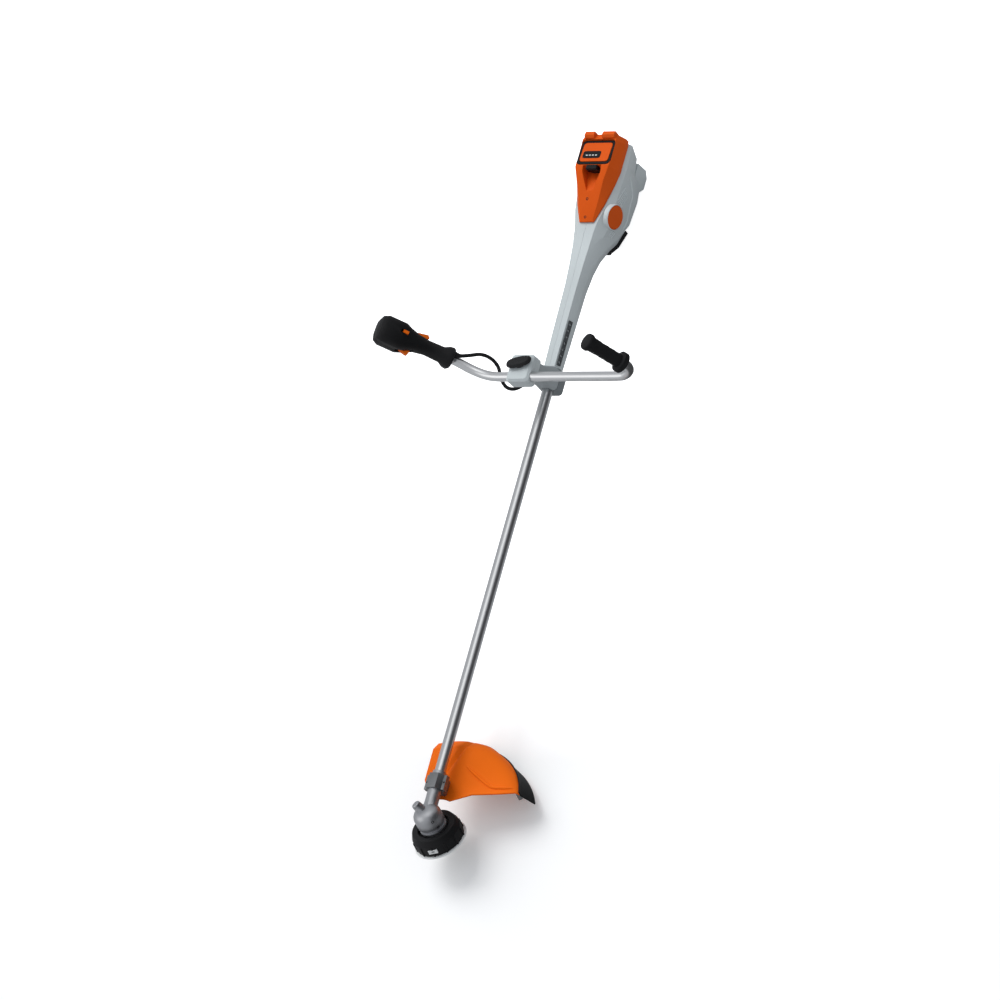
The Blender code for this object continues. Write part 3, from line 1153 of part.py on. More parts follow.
NECK_END_X = SUPPORT_REAR - SEAT_GAP
BODY_REAR_X = HOUSING_REAR_X + 0.012
FOOT_STEP_FRONT = -0.580
FOOT_STEP_REAR = -0.596
FOOT_TOP_Z = -0.058
BODY_STATIONS = [
    (NECK_END_X, 0.0145, NECK_FRONT_HALF_WIDTH, 0.0195, -0.0205, 0.0150, 1.00),
    (-0.150, 0.0155, 0.0225, 0.0215, -0.0225, 0.0165, 1.00),
    (-0.280, 0.0170, 0.0240, 0.0235, -0.0250, 0.0180, 1.00),
    (-0.330, 0.0195, 0.0285, 0.0255, -0.0300, 0.0190, 1.00),
    (-0.370, 0.0225, 0.0345, 0.0275, -0.0400, 0.0200, 0.98),
    (-0.410, 0.0250, 0.0415, 0.0290, -0.0600, 0.0200, 0.94),
    (LID_FRONT_X, 0.027, 0.0470, PARTING_Z - 0.001, BELLY_Z + 0.010, 0.022, 0.90),
    (-0.480, 0.040, 0.0540, PARTING_Z, BELLY_Z, 0.014, 0.84),
    (-0.540, 0.052, 0.0600, PARTING_Z, BELLY_Z, 0.010, 0.76),
    (FOOT_STEP_FRONT, 0.054, HOUSING_HALF_WIDTH, PARTING_Z, BELLY_Z, 0.010, 0.66),
    (FOOT_STEP_REAR, 0.054, HOUSING_HALF_WIDTH, PARTING_Z, FOOT_TOP_Z, 0.010, 0.64),
    (BODY_REAR_X, 0.052, 0.0590, PARTING_Z, FOOT_TOP_Z, 0.010, 0.56)]


def body_between(x):
    """The housing section's six sizes at a place along the shaft."""
    xs = [station[0] for station in BODY_STATIONS][::-1]
    columns = list(zip(*BODY_STATIONS))[1:]
    return [float(np.interp(x, xs, column[::-1])) for column in columns]


def chamber(x0, x1):
    """A hollow that follows the housing's wall between two places."""
    places = [x1] + [s[0] for s in BODY_STATIONS if x0 < s[0] < x1] + [x0]
    rings = []
    for x in places:
        half_top, half_side, top, bottom, chamfer, waist = body_between(x)
        rings.append(body_section(x, half_top - HOUSING_WALL, half_side - HOUSING_WALL,
                                  top - HOUSING_WALL, bottom + HOUSING_WALL, chamfer, waist))
    return skin(rings)


STATOR_RADIUS = STATOR_DIAMETER / 2
STATOR_REAR = MOTOR_X - STATOR_LENGTH / 2
STATOR_FRONT = MOTOR_X + STATOR_LENGTH / 2
BULKHEAD_REAR = STATOR_REAR + 0.004
BULKHEAD_FRONT = STATOR_FRONT - 0.004
BAY_WALL_X = BATTERY_X + BATTERY_LENGTH / 2 + 0.014
FAN_ROOM_FRONT = COUPLING_X - 0.020
COUPLING_ROOM = 0.0115
BATTERY_TOP_Z = LID_TOP_Z - 0.002
BATTERY = frame("battery_axis", (BATTERY_X, 0, BATTERY_TOP_Z), Matrix.Rotation(-BATTERY_TILT, 3, 'Y'))
BATTERY_CORNER = 0.010


def battery_well():
    """The battery's slot through lid and body, open above."""
    outline = rounded_outline(BATTERY_LENGTH / 2 + SLIDE_GAP, BATTERY_WIDTH / 2 + SLIDE_GAP, BATTERY_CORNER)
    return cutter(prism(outline, -BATTERY_DEPTH - SEAT_GAP, 0.06), BATTERY)


def housing_half(label, sign):
    """One half of the grey housing, split in the machine's middle plane."""
    half = piece(f"motor_housing_{label}", skin([body_section(*station) for station in BODY_STATIONS]),
                 "grey_plastic")
    away = block(-1, 1, -0.2, SHELL_HALF_GAP, -0.3, 0.3)
    if sign < 0:
        bmesh.ops.rotate(away, verts=away.verts, cent=(0, 0, 0), matrix=Matrix.Rotation(math.pi, 3, 'Z'))
    combine(half, cutter(away))
    combine(half, cutter(chamber(BAY_WALL_X, BULKHEAD_REAR)))
    combine(half, cutter(chamber(BULKHEAD_FRONT, FAN_ROOM_FRONT)))
    bores = [(STATOR_RADIUS + SEAT_GAP, STATOR_REAR - SEAT_GAP, STATOR_FRONT + 0.001),
             (COUPLING_ROOM, STATOR_FRONT, SHAFT_REAR_X - SEAT_GAP),
             (SHAFT_RADIUS + SEAT_GAP, SHAFT_REAR_X - SEAT_GAP - 0.0001, 0.0)]
    for radius, x0, x1 in bores:
        combine(half, cutter(turned([(radius, x0), (radius, x1)], 28), DRIVE))
    combine(half, battery_well())
    return half


for side_label, side_sign in (("right", -1), ("left", 1)):
    housing_half(side_label, side_sign)

# Orange lid over the battery bay
LID_REAR_X = HOUSING_REAR_X + 0.006
LID_BOTTOM_Z = PARTING_Z + SEAT_GAP
LID_STATIONS = [
    (LID_FRONT_X - 0.002, 0.0165, 0.0200, PARTING_Z + 0.004),
    (-0.480, 0.0255, 0.0365, PARTING_Z + 0.0150),
    (-0.530, 0.036, 0.0500, LID_TOP_Z - 0.009),
    (-0.562, 0.046, 0.0560, LID_TOP_Z),
    (-0.632, 0.046, 0.0560, LID_TOP_Z),
    (LID_REAR_X, 0.042, 0.0530, LID_TOP_Z - 0.004)]


def lid_section(x, half_top, half_side, top):
    """A six-sided lid section: flat underside, upright edge, slanted flank, top facet."""
    edge = LID_BOTTOM_Z + 0.30 * (top - LID_BOTTOM_Z)
    half = [(half_top, top), (half_side, edge), (half_side, LID_BOTTOM_Z)]
    return [(x, y, z) for y, z in half] + [(x, -y, z) for y, z in reversed(half)]


lid = piece("battery_bay_lid", skin([lid_section(*station) for station in LID_STATIONS]), "orange_plastic")
EAR_TOP = LID_TOP_Z + 0.007
for y0, y1 in ((-0.040, -0.014), (0.008, 0.042)):
    ear = side_prism([(-0.634, LID_TOP_Z - 0.012), (-0.634, EAR_TOP - 0.004), (-0.640, EAR_TOP),
                      (LID_REAR_X - 0.004, EAR_TOP - 0.003), (LID_REAR_X - 0.002, LID_TOP_Z - 0.014)],
                      (y1 - y0) / 2)
    combine(lid, cutter(shifted(ear, (0, (y0 + y1) / 2, 0))), 'UNION')
LATCH_WIDTH = 0.028
LATCH_X = BATTERY_X + BATTERY_LENGTH / 2 + 0.0055
LATCH_FOOT_Z = LID_TOP_Z - 0.024
SCOOP_HALF_WIDTH = 0.025
SCOOP_FLOOR = LATCH_FOOT_Z - 0.005
SCOOP_STATIONS = [(LATCH_X - 0.004, SCOOP_HALF_WIDTH, SCOOP_FLOOR),
                  (LATCH_X + 0.012, SCOOP_HALF_WIDTH, SCOOP_FLOOR),
                  (LATCH_X + 0.060, 0.006, SCOOP_FLOOR + 0.014)]
scoop = skin([[(x, half, LID_TOP_Z + 0.02), (x, -half, LID_TOP_Z + 0.02), (x, -half, floor),
               (x, half, floor)]
              for x, half, floor in SCOOP_STATIONS])
combine(lid, cutter(scoop))
combine(lid, battery_well())

# Battery: black pack with an orange end panel, and the latch that holds it
PANEL_INSET = 0.007
PANEL_DEPTH = 0.003
pack = piece("battery_pack", prism(rounded_outline(BATTERY_LENGTH / 2, BATTERY_WIDTH / 2, BATTERY_CORNER),
                                   -BATTERY_DEPTH, 0.0), "black_plastic", BATTERY)
panel_outline = rounded_outline(BATTERY_LENGTH / 2 - PANEL_INSET, BATTERY_WIDTH / 2 - PANEL_INSET,
                                BATTERY_CORNER * 0.7)
pocket = rounded_outline(BATTERY_LENGTH / 2 - PANEL_INSET + SEAT_GAP,
                         BATTERY_WIDTH / 2 - PANEL_INSET + SEAT_GAP,
                         BATTERY_CORNER * 0.7)
combine(pack, cutter(prism(pocket, -PANEL_DEPTH, 0.01), BATTERY))
piece("battery_panel", prism(panel_outline, -PANEL_DEPTH + SEAT_GAP, 0.001), "orange_plastic", BATTERY)
LATCH = frame("battery_latch_axis", (LATCH_X, 0, LATCH_FOOT_Z))
latch = side_prism([(-0.0025, -0.0042), (0.0035, -0.0042), (0.0045, 0.012), (0.008, 0.020), (0.006, 0.0255),
                    (-0.0035, 0.0255), (-0.0030, 0.006)], LATCH_WIDTH / 2)
LATCH_PIN_RADIUS = 0.0015
latch_piece = piece("battery_latch", latch, "black_plastic", LATCH)
trunnions = cross_pin(LATCH_PIN_RADIUS, SCOOP_HALF_WIDTH - SEAT_GAP, 0, 0)
combine(latch_piece, cutter(trunnions, LATCH), 'UNION')

# Motor on the shaft axis: case with end bells that carry the rotor, fan and coupling
ROTOR_RADIUS = ROTOR_DIAMETER / 2
BELL = 0.0045
bore = ROTOR_RADIUS + RUN_GAP
eye = DRIVE_RADIUS + RUN_GAP
piece("motor_stator", turned_ring([(STATOR_RADIUS, STATOR_REAR), (STATOR_RADIUS, STATOR_FRONT),
                                   (eye, STATOR_FRONT),
                                   (eye, STATOR_FRONT - BELL), (bore, STATOR_FRONT - BELL),
                                   (bore, STATOR_REAR + BELL),
                                   (eye, STATOR_REAR + BELL), (eye, STATOR_REAR)], 28), "steel", DRIVE)
ROTOR_MARGIN = BELL + RUN_GAP
ROTOR_TIP = COUPLING_X - SEAT_GAP
piece("motor_rotor", turned([(DRIVE_RADIUS, STATOR_REAR), (DRIVE_RADIUS, STATOR_REAR + ROTOR_MARGIN),
                             (ROTOR_RADIUS, STATOR_REAR + ROTOR_MARGIN),
                             (ROTOR_RADIUS, STATOR_FRONT - ROTOR_MARGIN),
                             (DRIVE_RADIUS, STATOR_FRONT - ROTOR_MARGIN), (DRIVE_RADIUS, ROTOR_TIP)], 24),
      "copper", DRIVE)
COUPLING_HALF = 0.014
piece("shaft_coupling", sleeve(0.0095, DRIVE_RADIUS + SEAT_GAP, COUPLING_X - COUPLING_HALF,
                               COUPLING_X + COUPLING_HALF,
                               20), "steel", DRIVE)
FAN_X = STATOR_FRONT + 0.012
FAN_WIDTH = 0.010
FAN_HUB = 0.010


def cooling_fan():
    """A hub with slanted blades, cut from one twisted star."""
    sides = FAN_BLADES * 4
    rings = []
    for x, twist in ((FAN_X - FAN_WIDTH / 2, 0.0), (FAN_X + FAN_WIDTH / 2, 0.20)):
        ring = []
        for i in range(sides):
            radius = FAN_DIAMETER / 2 if i % 4 < 2 else FAN_HUB
            lean = (0.0, -0.10, 0.06, -0.06)[i % 4]
            angle = math.tau * i / sides + twist + lean
            ring.append((radius * math.cos(angle), radius * math.sin(angle), x))
        rings.append(ring)
    return skin(rings)


fan = piece("cooling_fan", cooling_fan(), "black_plastic", DRIVE)
combine(fan, cutter(turned([(DRIVE_RADIUS + SEAT_GAP, FAN_X - 0.03),
                            (DRIVE_RADIUS + SEAT_GAP, FAN_X + 0.03)], 16), DRIVE))
BOARD_THICKNESS = 0.004
piece("controller_board", block(BAY_WALL_X + SEAT_GAP, BAY_WALL_X + SEAT_GAP + BOARD_THICKNESS, -0.038,
                                0.038,
                                BELLY_Z + 0.020, 0.012), "board_green")

# Intake grille under the belly's nose, and the rear foot
GRILLE_REAR = -0.476
GRILLE_FRONT = -0.404
GRILLE_THICKNESS = 0.013
grille_rings = []
for x in (GRILLE_FRONT, -0.410, LID_FRONT_X, GRILLE_REAR):
    half_top, half_side, top, bottom, chamfer, waist = body_between(x)
    half = half_top * 0.66
    high = bottom - SEAT_GAP
    grille_rings.append([(x, half, high), (x, -half, high), (x, -half * 0.9, high - GRILLE_THICKNESS),
                         (x, half * 0.9, high - GRILLE_THICKNESS)])
grille = piece("air_intake_grille", skin(grille_rings), "black_plastic")
GRILLE_SLOTS = 7
for index in range(GRILLE_SLOTS):
    x = GRILLE_REAR + (GRILLE_FRONT - GRILLE_REAR) * (index + 0.5) / GRILLE_SLOTS
    slot = block(x - 0.0018, x + 0.0018, -0.012, 0.012, BELLY_Z - 0.02, 0.0)
    combine(grille, cutter(slot))
FOOT_HALF_WIDTH = 0.030
FOOT_FLAT_REAR = -0.620
FOOT_FLAT_FRONT = -0.592
FOOT_REAR_X = -0.636
FOOT_SEAT_Z = FOOT_TOP_Z - SEAT_GAP
BELLY_SEAT_Z = BELLY_Z - SEAT_GAP
FOOT_STEP_GAP = 2 * SEAT_GAP
piece("rear_foot", side_prism([(FOOT_REAR_X, FOOT_SEAT_Z), (FOOT_STEP_REAR - FOOT_STEP_GAP, FOOT_SEAT_Z),
                               (FOOT_STEP_FRONT - FOOT_STEP_GAP, BELLY_SEAT_Z),
                               (FOOT_STEP_FRONT + 0.006, BELLY_SEAT_Z), (FOOT_FLAT_FRONT, FOOT_Z),
                               (FOOT_FLAT_REAR, FOOT_Z), (FOOT_REAR_X, FOOT_Z + 0.011)],
                              FOOT_HALF_WIDTH), "grey_plastic")

# Round side cap on the left flank and the punched harness rail on the neck
CAP_X = -0.464
CAP_RADIUS = 0.028
CAP_THICKNESS = 0.003
flank_back = body_between(CAP_X - 0.010)
flank_front = body_between(CAP_X + 0.010)
flank_normal = Vector((flank_back[1] - flank_front[1], 0.020, 0)).normalized()
flank_point = Vector((CAP_X, body_between(CAP_X)[1], 0.002)) + flank_normal * SEAT_GAP
SIDE_CAP = frame("side_cap_axis", flank_point,
                 axes((0, 0, 1), flank_normal.cross(Vector((0, 0, 1))), flank_normal))
piece("side_cap", turned([(CAP_RADIUS, 0), (CAP_RADIUS, CAP_THICKNESS * 0.6),
                          (CAP_RADIUS - 0.003, CAP_THICKNESS)], 28),
      "orange_plastic", SIDE_CAP)
RAIL_REAR_X = -0.190
RAIL_FRONT_X = -0.078
RAIL_HOLES = 7
RAIL_HOLE_RADIUS = 0.0034
RAIL_THICKNESS = 0.003
RAIL_WIDTH = 0.010
rail_ends = []
for x in (RAIL_REAR_X, RAIL_FRONT_X):
    half_top, half_side, top, bottom, chamfer, waist = body_between(x)
    rail_ends.append(Vector((x, (half_top + half_side) / 2, top - chamfer / 2)))
half_top, half_side, top, bottom, chamfer, waist = body_between((RAIL_REAR_X + RAIL_FRONT_X) / 2)
rail_along = (rail_ends[1] - rail_ends[0]).normalized()
rail_down = Vector((0, half_side - half_top, -chamfer)).normalized()
rail_normal = rail_along.cross(rail_down) * -1
if rail_normal.z < 0:
    rail_normal.negate()
rail_side = rail_normal.cross(rail_along)
RAIL = frame("harness_rail_axis", rail_ends[0] + rail_normal * 2 * SEAT_GAP,
             axes(rail_along, rail_side, rail_normal))
RAIL_LENGTH = (rail_ends[1] - rail_ends[0]).length
rail = piece("harness_rail", block(0, RAIL_LENGTH, -RAIL_WIDTH / 2, RAIL_WIDTH / 2, 0, RAIL_THICKNESS),
             "black_plastic",
             RAIL)
for index in range(RAIL_HOLES):
    x = RAIL_LENGTH * (index + 0.5) / RAIL_HOLES
    combine(rail, cutter(shifted(turned([(RAIL_HOLE_RADIUS, -0.01), (RAIL_HOLE_RADIUS, 0.02)], 10),
                                 (x, 0, 0)), RAIL))

# Control cable: from the handle's foot, over and behind the bar, into the riser
CABLE_RADIUS = CABLE_DIAMETER / 2
CABLE_ROUTE = [(-0.0295, -0.1564, 0.1657), (-0.0304, -0.1488, 0.1563), (-0.0394, -0.1350, 0.1410),
               (-0.0500, -0.1170, 0.1245), (-0.0500, -0.1020, 0.1040), (-0.0380, -0.0900, 0.0850),
               (-0.0150, -0.0820, 0.0750), (0.0020, -0.0690, 0.0630), (0.0020, -0.0520, 0.0530),
               (-0.0140, -0.0345, 0.0460), (-0.0340, -0.0228, 0.0450)]
CABLE_STEPS = 3


def cable(name, route):
    """A cord as a round-bevelled curve on points read from a smooth route."""
    curve = bpy.data.curves.new(name, 'CURVE')
    curve.dimensions = '3D'
    curve.bevel_depth = CABLE_RADIUS
    curve.bevel_resolution = 2
    curve.use_fill_caps = True
    points = spline(route, CABLE_STEPS)
    line = curve.splines.new('POLY')
    line.points.add(len(points) - 1)
    line.points.foreach_set("co", np.array([(*point, 1.0) for point in points], dtype=np.float32).ravel())
    curve.materials.append(finish("black_rubber"))
    obj = bpy.data.objects.new(name, curve)
    bpy.context.scene.collection.objects.link(obj)
    obj.parent = MACHINE
    NODES.append(obj)
    length = sum((b - a).length for a, b in zip(points, points[1:]))
    print(f"{name} length {length * 1000:.0f} mm")
    return obj


cable("control_cable", CABLE_ROUTE)

# Lay the machine on the ground: guard skirt and rear foot level, box centred on the origin
def corners():
    """Every piece's evaluated points in the machine frame as one array."""
    graph = bpy.context.evaluated_depsgraph_get()
    clouds = []
    for obj in NODES:
        shown = obj.evaluated_get(graph)
        mesh = shown.to_mesh()
        local = np.empty(len(mesh.vertices) * 3, dtype=np.float32)
        mesh.vertices.foreach_get("co", local)
        matrix = np.array(shown.matrix_world)
        clouds.append(local.reshape(-1, 3) @ matrix[:3, :3].T + matrix[:3, 3])
        shown.to_mesh_clear()
    return np.vstack(clouds)


bpy.context.view_layer.update()
cloud = corners()
front = cloud[cloud[:, 0] > 0]
rear = cloud[cloud[:, 0] < LID_FRONT_X]
pitch = 0.0
for _ in range(6):
    lift = -math.sin(pitch) * cloud[:, 0] + math.cos(pitch) * cloud[:, 2]
    low_front = min((h, x) for h, x in zip(lift[cloud[:, 0] > 0], front[:, 0]))
    low_rear = min((h, x) for h, x in zip(lift[cloud[:, 0] < LID_FRONT_X], rear[:, 0]))
    pitch += (low_front[0] - low_rear[0]) / (low_front[1] - low_rear[1])
turn = Matrix.Rotation(pitch, 3, 'Y')
laid = cloud @ np.array(turn).T
low = laid.min(axis=0)
high = laid.max(axis=0)
middle = (low + high) / 2
MACHINE.matrix_basis = Matrix.Translation((-middle[0], -middle[1], -low[2])) @ turn.to_4x4()
bpy.context.view_layer.update()
print(f"laid at a pitch of {math.degrees(pitch):.2f} degrees, box {np.round(high - low, 4).tolist()}")
for joint_frame in (DRIVE, SPINDLE, BUMP, SWIVEL, KNOB, TRIGGER, LOCKOUT, SLIDER, BATTERY, LATCH):
    world = joint_frame.matrix_world
    columns = [[round(v, 6) for v in world.to_3x3().col[i]] for i in range(3)]
    print(joint_frame.name, [round(v, 6) for v in world.translation], columns)
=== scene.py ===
# %% [markdown]
# # Dressing a cordless brush cutter
# The imported model gives every piece its place and size.  This lesson gives the
# pieces their looks: moulded plastic, drawn and cast aluminium, rubber and steel,
# with small moulded details worked out as surfaces on top of them.
# The first cell loads the model.

# %% Load the imported model
import json
import math

import bmesh
import bpy
import numpy as np
from mathutils import Matrix, Vector


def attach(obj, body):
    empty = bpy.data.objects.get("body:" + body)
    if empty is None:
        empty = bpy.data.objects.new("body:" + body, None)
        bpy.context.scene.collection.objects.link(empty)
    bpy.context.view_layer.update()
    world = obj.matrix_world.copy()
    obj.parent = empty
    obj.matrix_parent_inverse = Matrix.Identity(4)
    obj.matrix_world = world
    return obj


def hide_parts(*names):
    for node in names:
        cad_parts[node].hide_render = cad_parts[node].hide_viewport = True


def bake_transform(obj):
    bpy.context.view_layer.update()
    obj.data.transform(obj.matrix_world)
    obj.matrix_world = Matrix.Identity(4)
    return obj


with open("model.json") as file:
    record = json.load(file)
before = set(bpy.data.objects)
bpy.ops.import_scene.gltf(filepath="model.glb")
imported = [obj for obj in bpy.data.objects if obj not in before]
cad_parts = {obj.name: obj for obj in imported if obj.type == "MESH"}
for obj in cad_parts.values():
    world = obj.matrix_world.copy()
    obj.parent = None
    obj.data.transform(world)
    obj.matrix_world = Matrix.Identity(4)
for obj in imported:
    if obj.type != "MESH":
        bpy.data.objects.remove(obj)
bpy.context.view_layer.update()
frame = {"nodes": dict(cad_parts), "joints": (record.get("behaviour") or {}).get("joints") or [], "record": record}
NODES = frame["nodes"]
BODY_OF = {node: body for body, nodes in frame["record"]["behaviour"]["bodies"].items() for node in nodes}
SLOT_OF = {part["node"]: part["material_slot"] for part in frame["record"]["subparts"]}

# %% [markdown]
# A maker thinks along the machine, not along the room: x runs forward along the
# shaft from the handlebar clamp, y to the operator's left and z up from the shaft.
# The motor shaft's joint gives that frame's origin and x, so nothing is measured
# twice.

# %% The frame along the machine
JOINTS = {joint["name"]: joint for joint in frame["joints"]}
FORWARD = np.array(JOINTS["drive_line_spin"]["axis"])
LEFT = np.array((0.0, 1.0, 0.0))
DOWN = np.array((0.0, 0.0, -1.0))
TURN = np.stack([FORWARD, LEFT, np.cross(FORWARD, LEFT)], axis=1)
MACHINE = np.eye(4)
MACHINE[:3, :3] = TURN
MACHINE[:3, 3] = JOINTS["drive_line_spin"]["pos_m"]


def placed(matrix, points):
    """Points of a local frame, in the model's frame: rotate, then add the origin."""
    points = np.asarray(points, float)
    return points @ matrix[:3, :3].T + matrix[:3, 3]


print("shaft origin", MACHINE[:3, 3].round(3), "forward", FORWARD.round(3))

# %% [markdown]
# Shaders are sums of patterns, so it helps to write them as sums.  `Wire` holds
# one output socket of a node tree.  Adding or multiplying two wires adds the Math
# node that does it, and `Finish.node` makes any other node from its type, its
# settings and what goes into its sockets.

# %% A socket that can be used like a number
class Wire:
    """An output socket of a finish; operators add Math nodes."""

    def __init__(self, finish, socket):
        self.finish = finish
        self.socket = socket

    def math(self, operation, *values):
        return self.finish.node("ShaderNodeMath", {"operation": operation}, dict(enumerate(values)))

    def __add__(self, other):
        return self.math("ADD", self, other)

    def __sub__(self, other):
        return self.math("SUBTRACT", self, other)

    def __rsub__(self, other):
        return self.math("SUBTRACT", other, self)

    def __mul__(self, other):
        return self.math("MULTIPLY", self, other)

    __radd__ = __add__
    __rmul__ = __mul__

    def clamped(self):
        return self.finish.node("ShaderNodeClamp", {}, {"Value": self})


class Finish:
    """A material under construction: its tree, its shader and its Object coordinates."""

    def __init__(self, name, colour, roughness, metallic=0.0, specular=0.5):
        self.material = bpy.data.materials.new(name)
        self.material.use_nodes = True
        self.tree = self.material.node_tree
        self.shader = self.tree.nodes["Principled BSDF"]
        self.shader.inputs["Base Color"].default_value = (*colour, 1.0)
        self.shader.inputs["Roughness"].default_value = roughness
        self.shader.inputs["Metallic"].default_value = metallic
        self.shader.inputs["Specular IOR Level"].default_value = specular
        self.colour = colour
        self.place = self.node("ShaderNodeTexCoord", {}, {}, "Object")

    def node(self, kind, settings, sockets, out=0):
        """Any node: settings first, then a number, a colour or a wire for each socket."""
        made = self.tree.nodes.new(kind)
        for key, value in settings.items():
            setattr(made, key, value)
        for key, value in sockets.items():
            if isinstance(value, Wire):
                self.tree.links.new(value.socket, made.inputs[key])
            else:
                made.inputs[key].default_value = value
        return Wire(self, made.outputs[out])

    def turned(self, matrix, stretch=(1.0, 1.0, 1.0)):
        """Coordinates along a local frame: three dot products with its axes, times a stretch."""
        moved = self.node("ShaderNodeVectorMath", {"operation": "SUBTRACT"},
                          {0: self.place, 1: tuple(matrix[:3, 3])})
        along = [self.node("ShaderNodeVectorMath", {"operation": "DOT_PRODUCT"},
                           {0: moved, 1: tuple(matrix[:3, i])}, "Value") * stretch[i] for i in range(3)]
        return self.node("ShaderNodeCombineXYZ", {}, dict(enumerate(along))), along

    def noise(self, scale, detail=3.0, rough=0.55, where=None):
        return self.node("ShaderNodeTexNoise", {}, {"Vector": where or self.place, "Scale": scale,
                                                    "Detail": detail, "Roughness": rough}, "Fac")

    def mix(self, amount, first, second):
        """A colour between two colours."""
        first = first if isinstance(first, Wire) else (*first, 1.0)
        second = second if isinstance(second, Wire) else (*second, 1.0)
        return self.node("ShaderNodeMix", {"data_type": "RGBA"}, {0: amount, 6: first, 7: second}, 2)

    def feed(self, socket, wire):
        self.tree.links.new(wire.socket, self.shader.inputs[socket])

    def bump(self, height, distance, strength=1.0):
        """Feed a height in metres' worth of relief to the normal."""
        normal = self.node("ShaderNodeBump", {}, {"Height": height, "Distance": distance,
                                                  "Strength": strength}, "Normal")
        self.feed("Normal", normal)


def scaled(colour, amount):
    """A colour made lighter or darker."""
    return tuple(min(1.0, channel * amount) for channel in colour)


# %% [markdown]
# Injection-moulded plastic is never one flat tone.  A spark-eroded mould leaves a
# fine grain, cooling leaves slow changes of gloss, and handling leaves faint dull
# streaks.  Three noises at these three scales give the plastic its surface.

# %% Moulded plastic
COOLING_SCALE = 9.0
SCUFF_SCALE = 60.0


def moulded(name, colour, roughness=0.42, grain=0.00006, specular=0.5, dull=0.10, grain_scale=1500.0):
    """Plastic: grain as relief, slow cooling changes in tone, scuffs in roughness."""
    finish = Finish(name, colour, roughness, specular=specular)
    slow = finish.noise(COOLING_SCALE, 2.0)
    scuff = finish.noise(SCUFF_SCALE, 5.0, 0.7)
    fine = finish.noise(grain_scale, 2.0)
    tone = finish.mix(slow, scaled(colour, 0.93), scaled(colour, 1.06))
    finish.feed("Base Color", finish.mix((scuff - 0.62).clamped() * 1.2, tone, scaled(colour, 1.25)))
    finish.feed("Roughness", roughness - dull / 2 + dull * scuff + 0.04 * slow)
    finish.bump(fine, grain)
    return finish.material


FINISHES = {
    "orange_plastic": moulded("orange moulded shell", (0.86, 0.150, 0.006), 0.46, 0.00004, 0.08),
    "grey_plastic": moulded("pale grey moulded shell", (0.570, 0.615, 0.620), 0.50, specular=0.3),
    "black_plastic": moulded("black moulded plastic", (0.0080, 0.0080, 0.0088), 0.50, 0.00009, 0.25),
    "white_plastic": moulded("white moulded plastic", (0.82, 0.83, 0.82), 0.40),
    "board_green": moulded("potted circuit board", (0.020, 0.075, 0.040), 0.30),
}
print("plastics:", ", ".join(FINISHES))

# %% [markdown]
# Rubber grips are matt and slightly dusty in the hollows.  A coarse noise makes
# the dust, and the relief is stronger than on hard plastic.

# %% Rubber
RUBBER_SCALE = 700.0


def rubber(name, colour):
    """Rubber: a lighter bloom where the slow noise is high, and a granular relief."""
    finish = Finish(name, colour, 0.72, specular=0.22)
    bloom = finish.noise(35.0, 4.0, 0.65)
    finish.feed("Base Color", finish.mix(bloom, scaled(colour, 0.75), scaled(colour, 1.7)))
    finish.feed("Roughness", 0.62 + 0.2 * bloom)
    finish.bump(finish.noise(RUBBER_SCALE, 3.0), 0.00015)
    return finish.material


FINISHES["black_rubber"] = rubber("black grip rubber", (0.010, 0.010, 0.011))
print("rubber:", FINISHES["black_rubber"].name)

# %% [markdown]
# A drawn tube carries fine lines along its length, from the die.  Noise stretched
# along the tube's own axis gives them.  A cast case is shot-blasted instead, so
# its relief is the same in all directions, with slightly duller hollows.

# %% Drawn and cast aluminium, ground steel, copper
ALONG_SHAFT = (6.0, 900.0, 900.0)
ALONG_BAR = (900.0, 6.0, 900.0)


def drawn(name, colour, roughness, matrix, stretch):
    """Drawn metal: noise stretched along one axis of a frame, in tone, gloss and relief."""
    finish = Finish(name, colour, roughness, 1.0)
    where, _ = finish.turned(matrix, stretch)
    lines = finish.noise(1.0, 3.0, 0.6, where)
    stains = finish.noise(14.0, 4.0, 0.6)
    finish.feed("Base Color", finish.mix(lines, scaled(colour, 0.78), scaled(colour, 1.15)))
    finish.feed("Roughness", roughness - 0.06 + 0.10 * lines + 0.06 * stains)
    finish.bump(lines, 0.00003)
    return finish.material


def blasted(name, colour, roughness, scale=420.0, relief=0.00012, metallic=1.0):
    """Cast or ground metal: an even relief, darker and duller in its hollows."""
    finish = Finish(name, colour, roughness, metallic)
    pits = finish.noise(scale, 4.0, 0.6)
    cloud = finish.noise(22.0, 3.0)
    hollow = pits * 0.6 + cloud * 0.4
    finish.feed("Base Color", finish.mix(hollow, scaled(colour, 0.80), scaled(colour, 1.12)))
    finish.feed("Roughness", roughness + 0.12 * cloud - 0.06)
    finish.bump(pits, relief)
    return finish.material


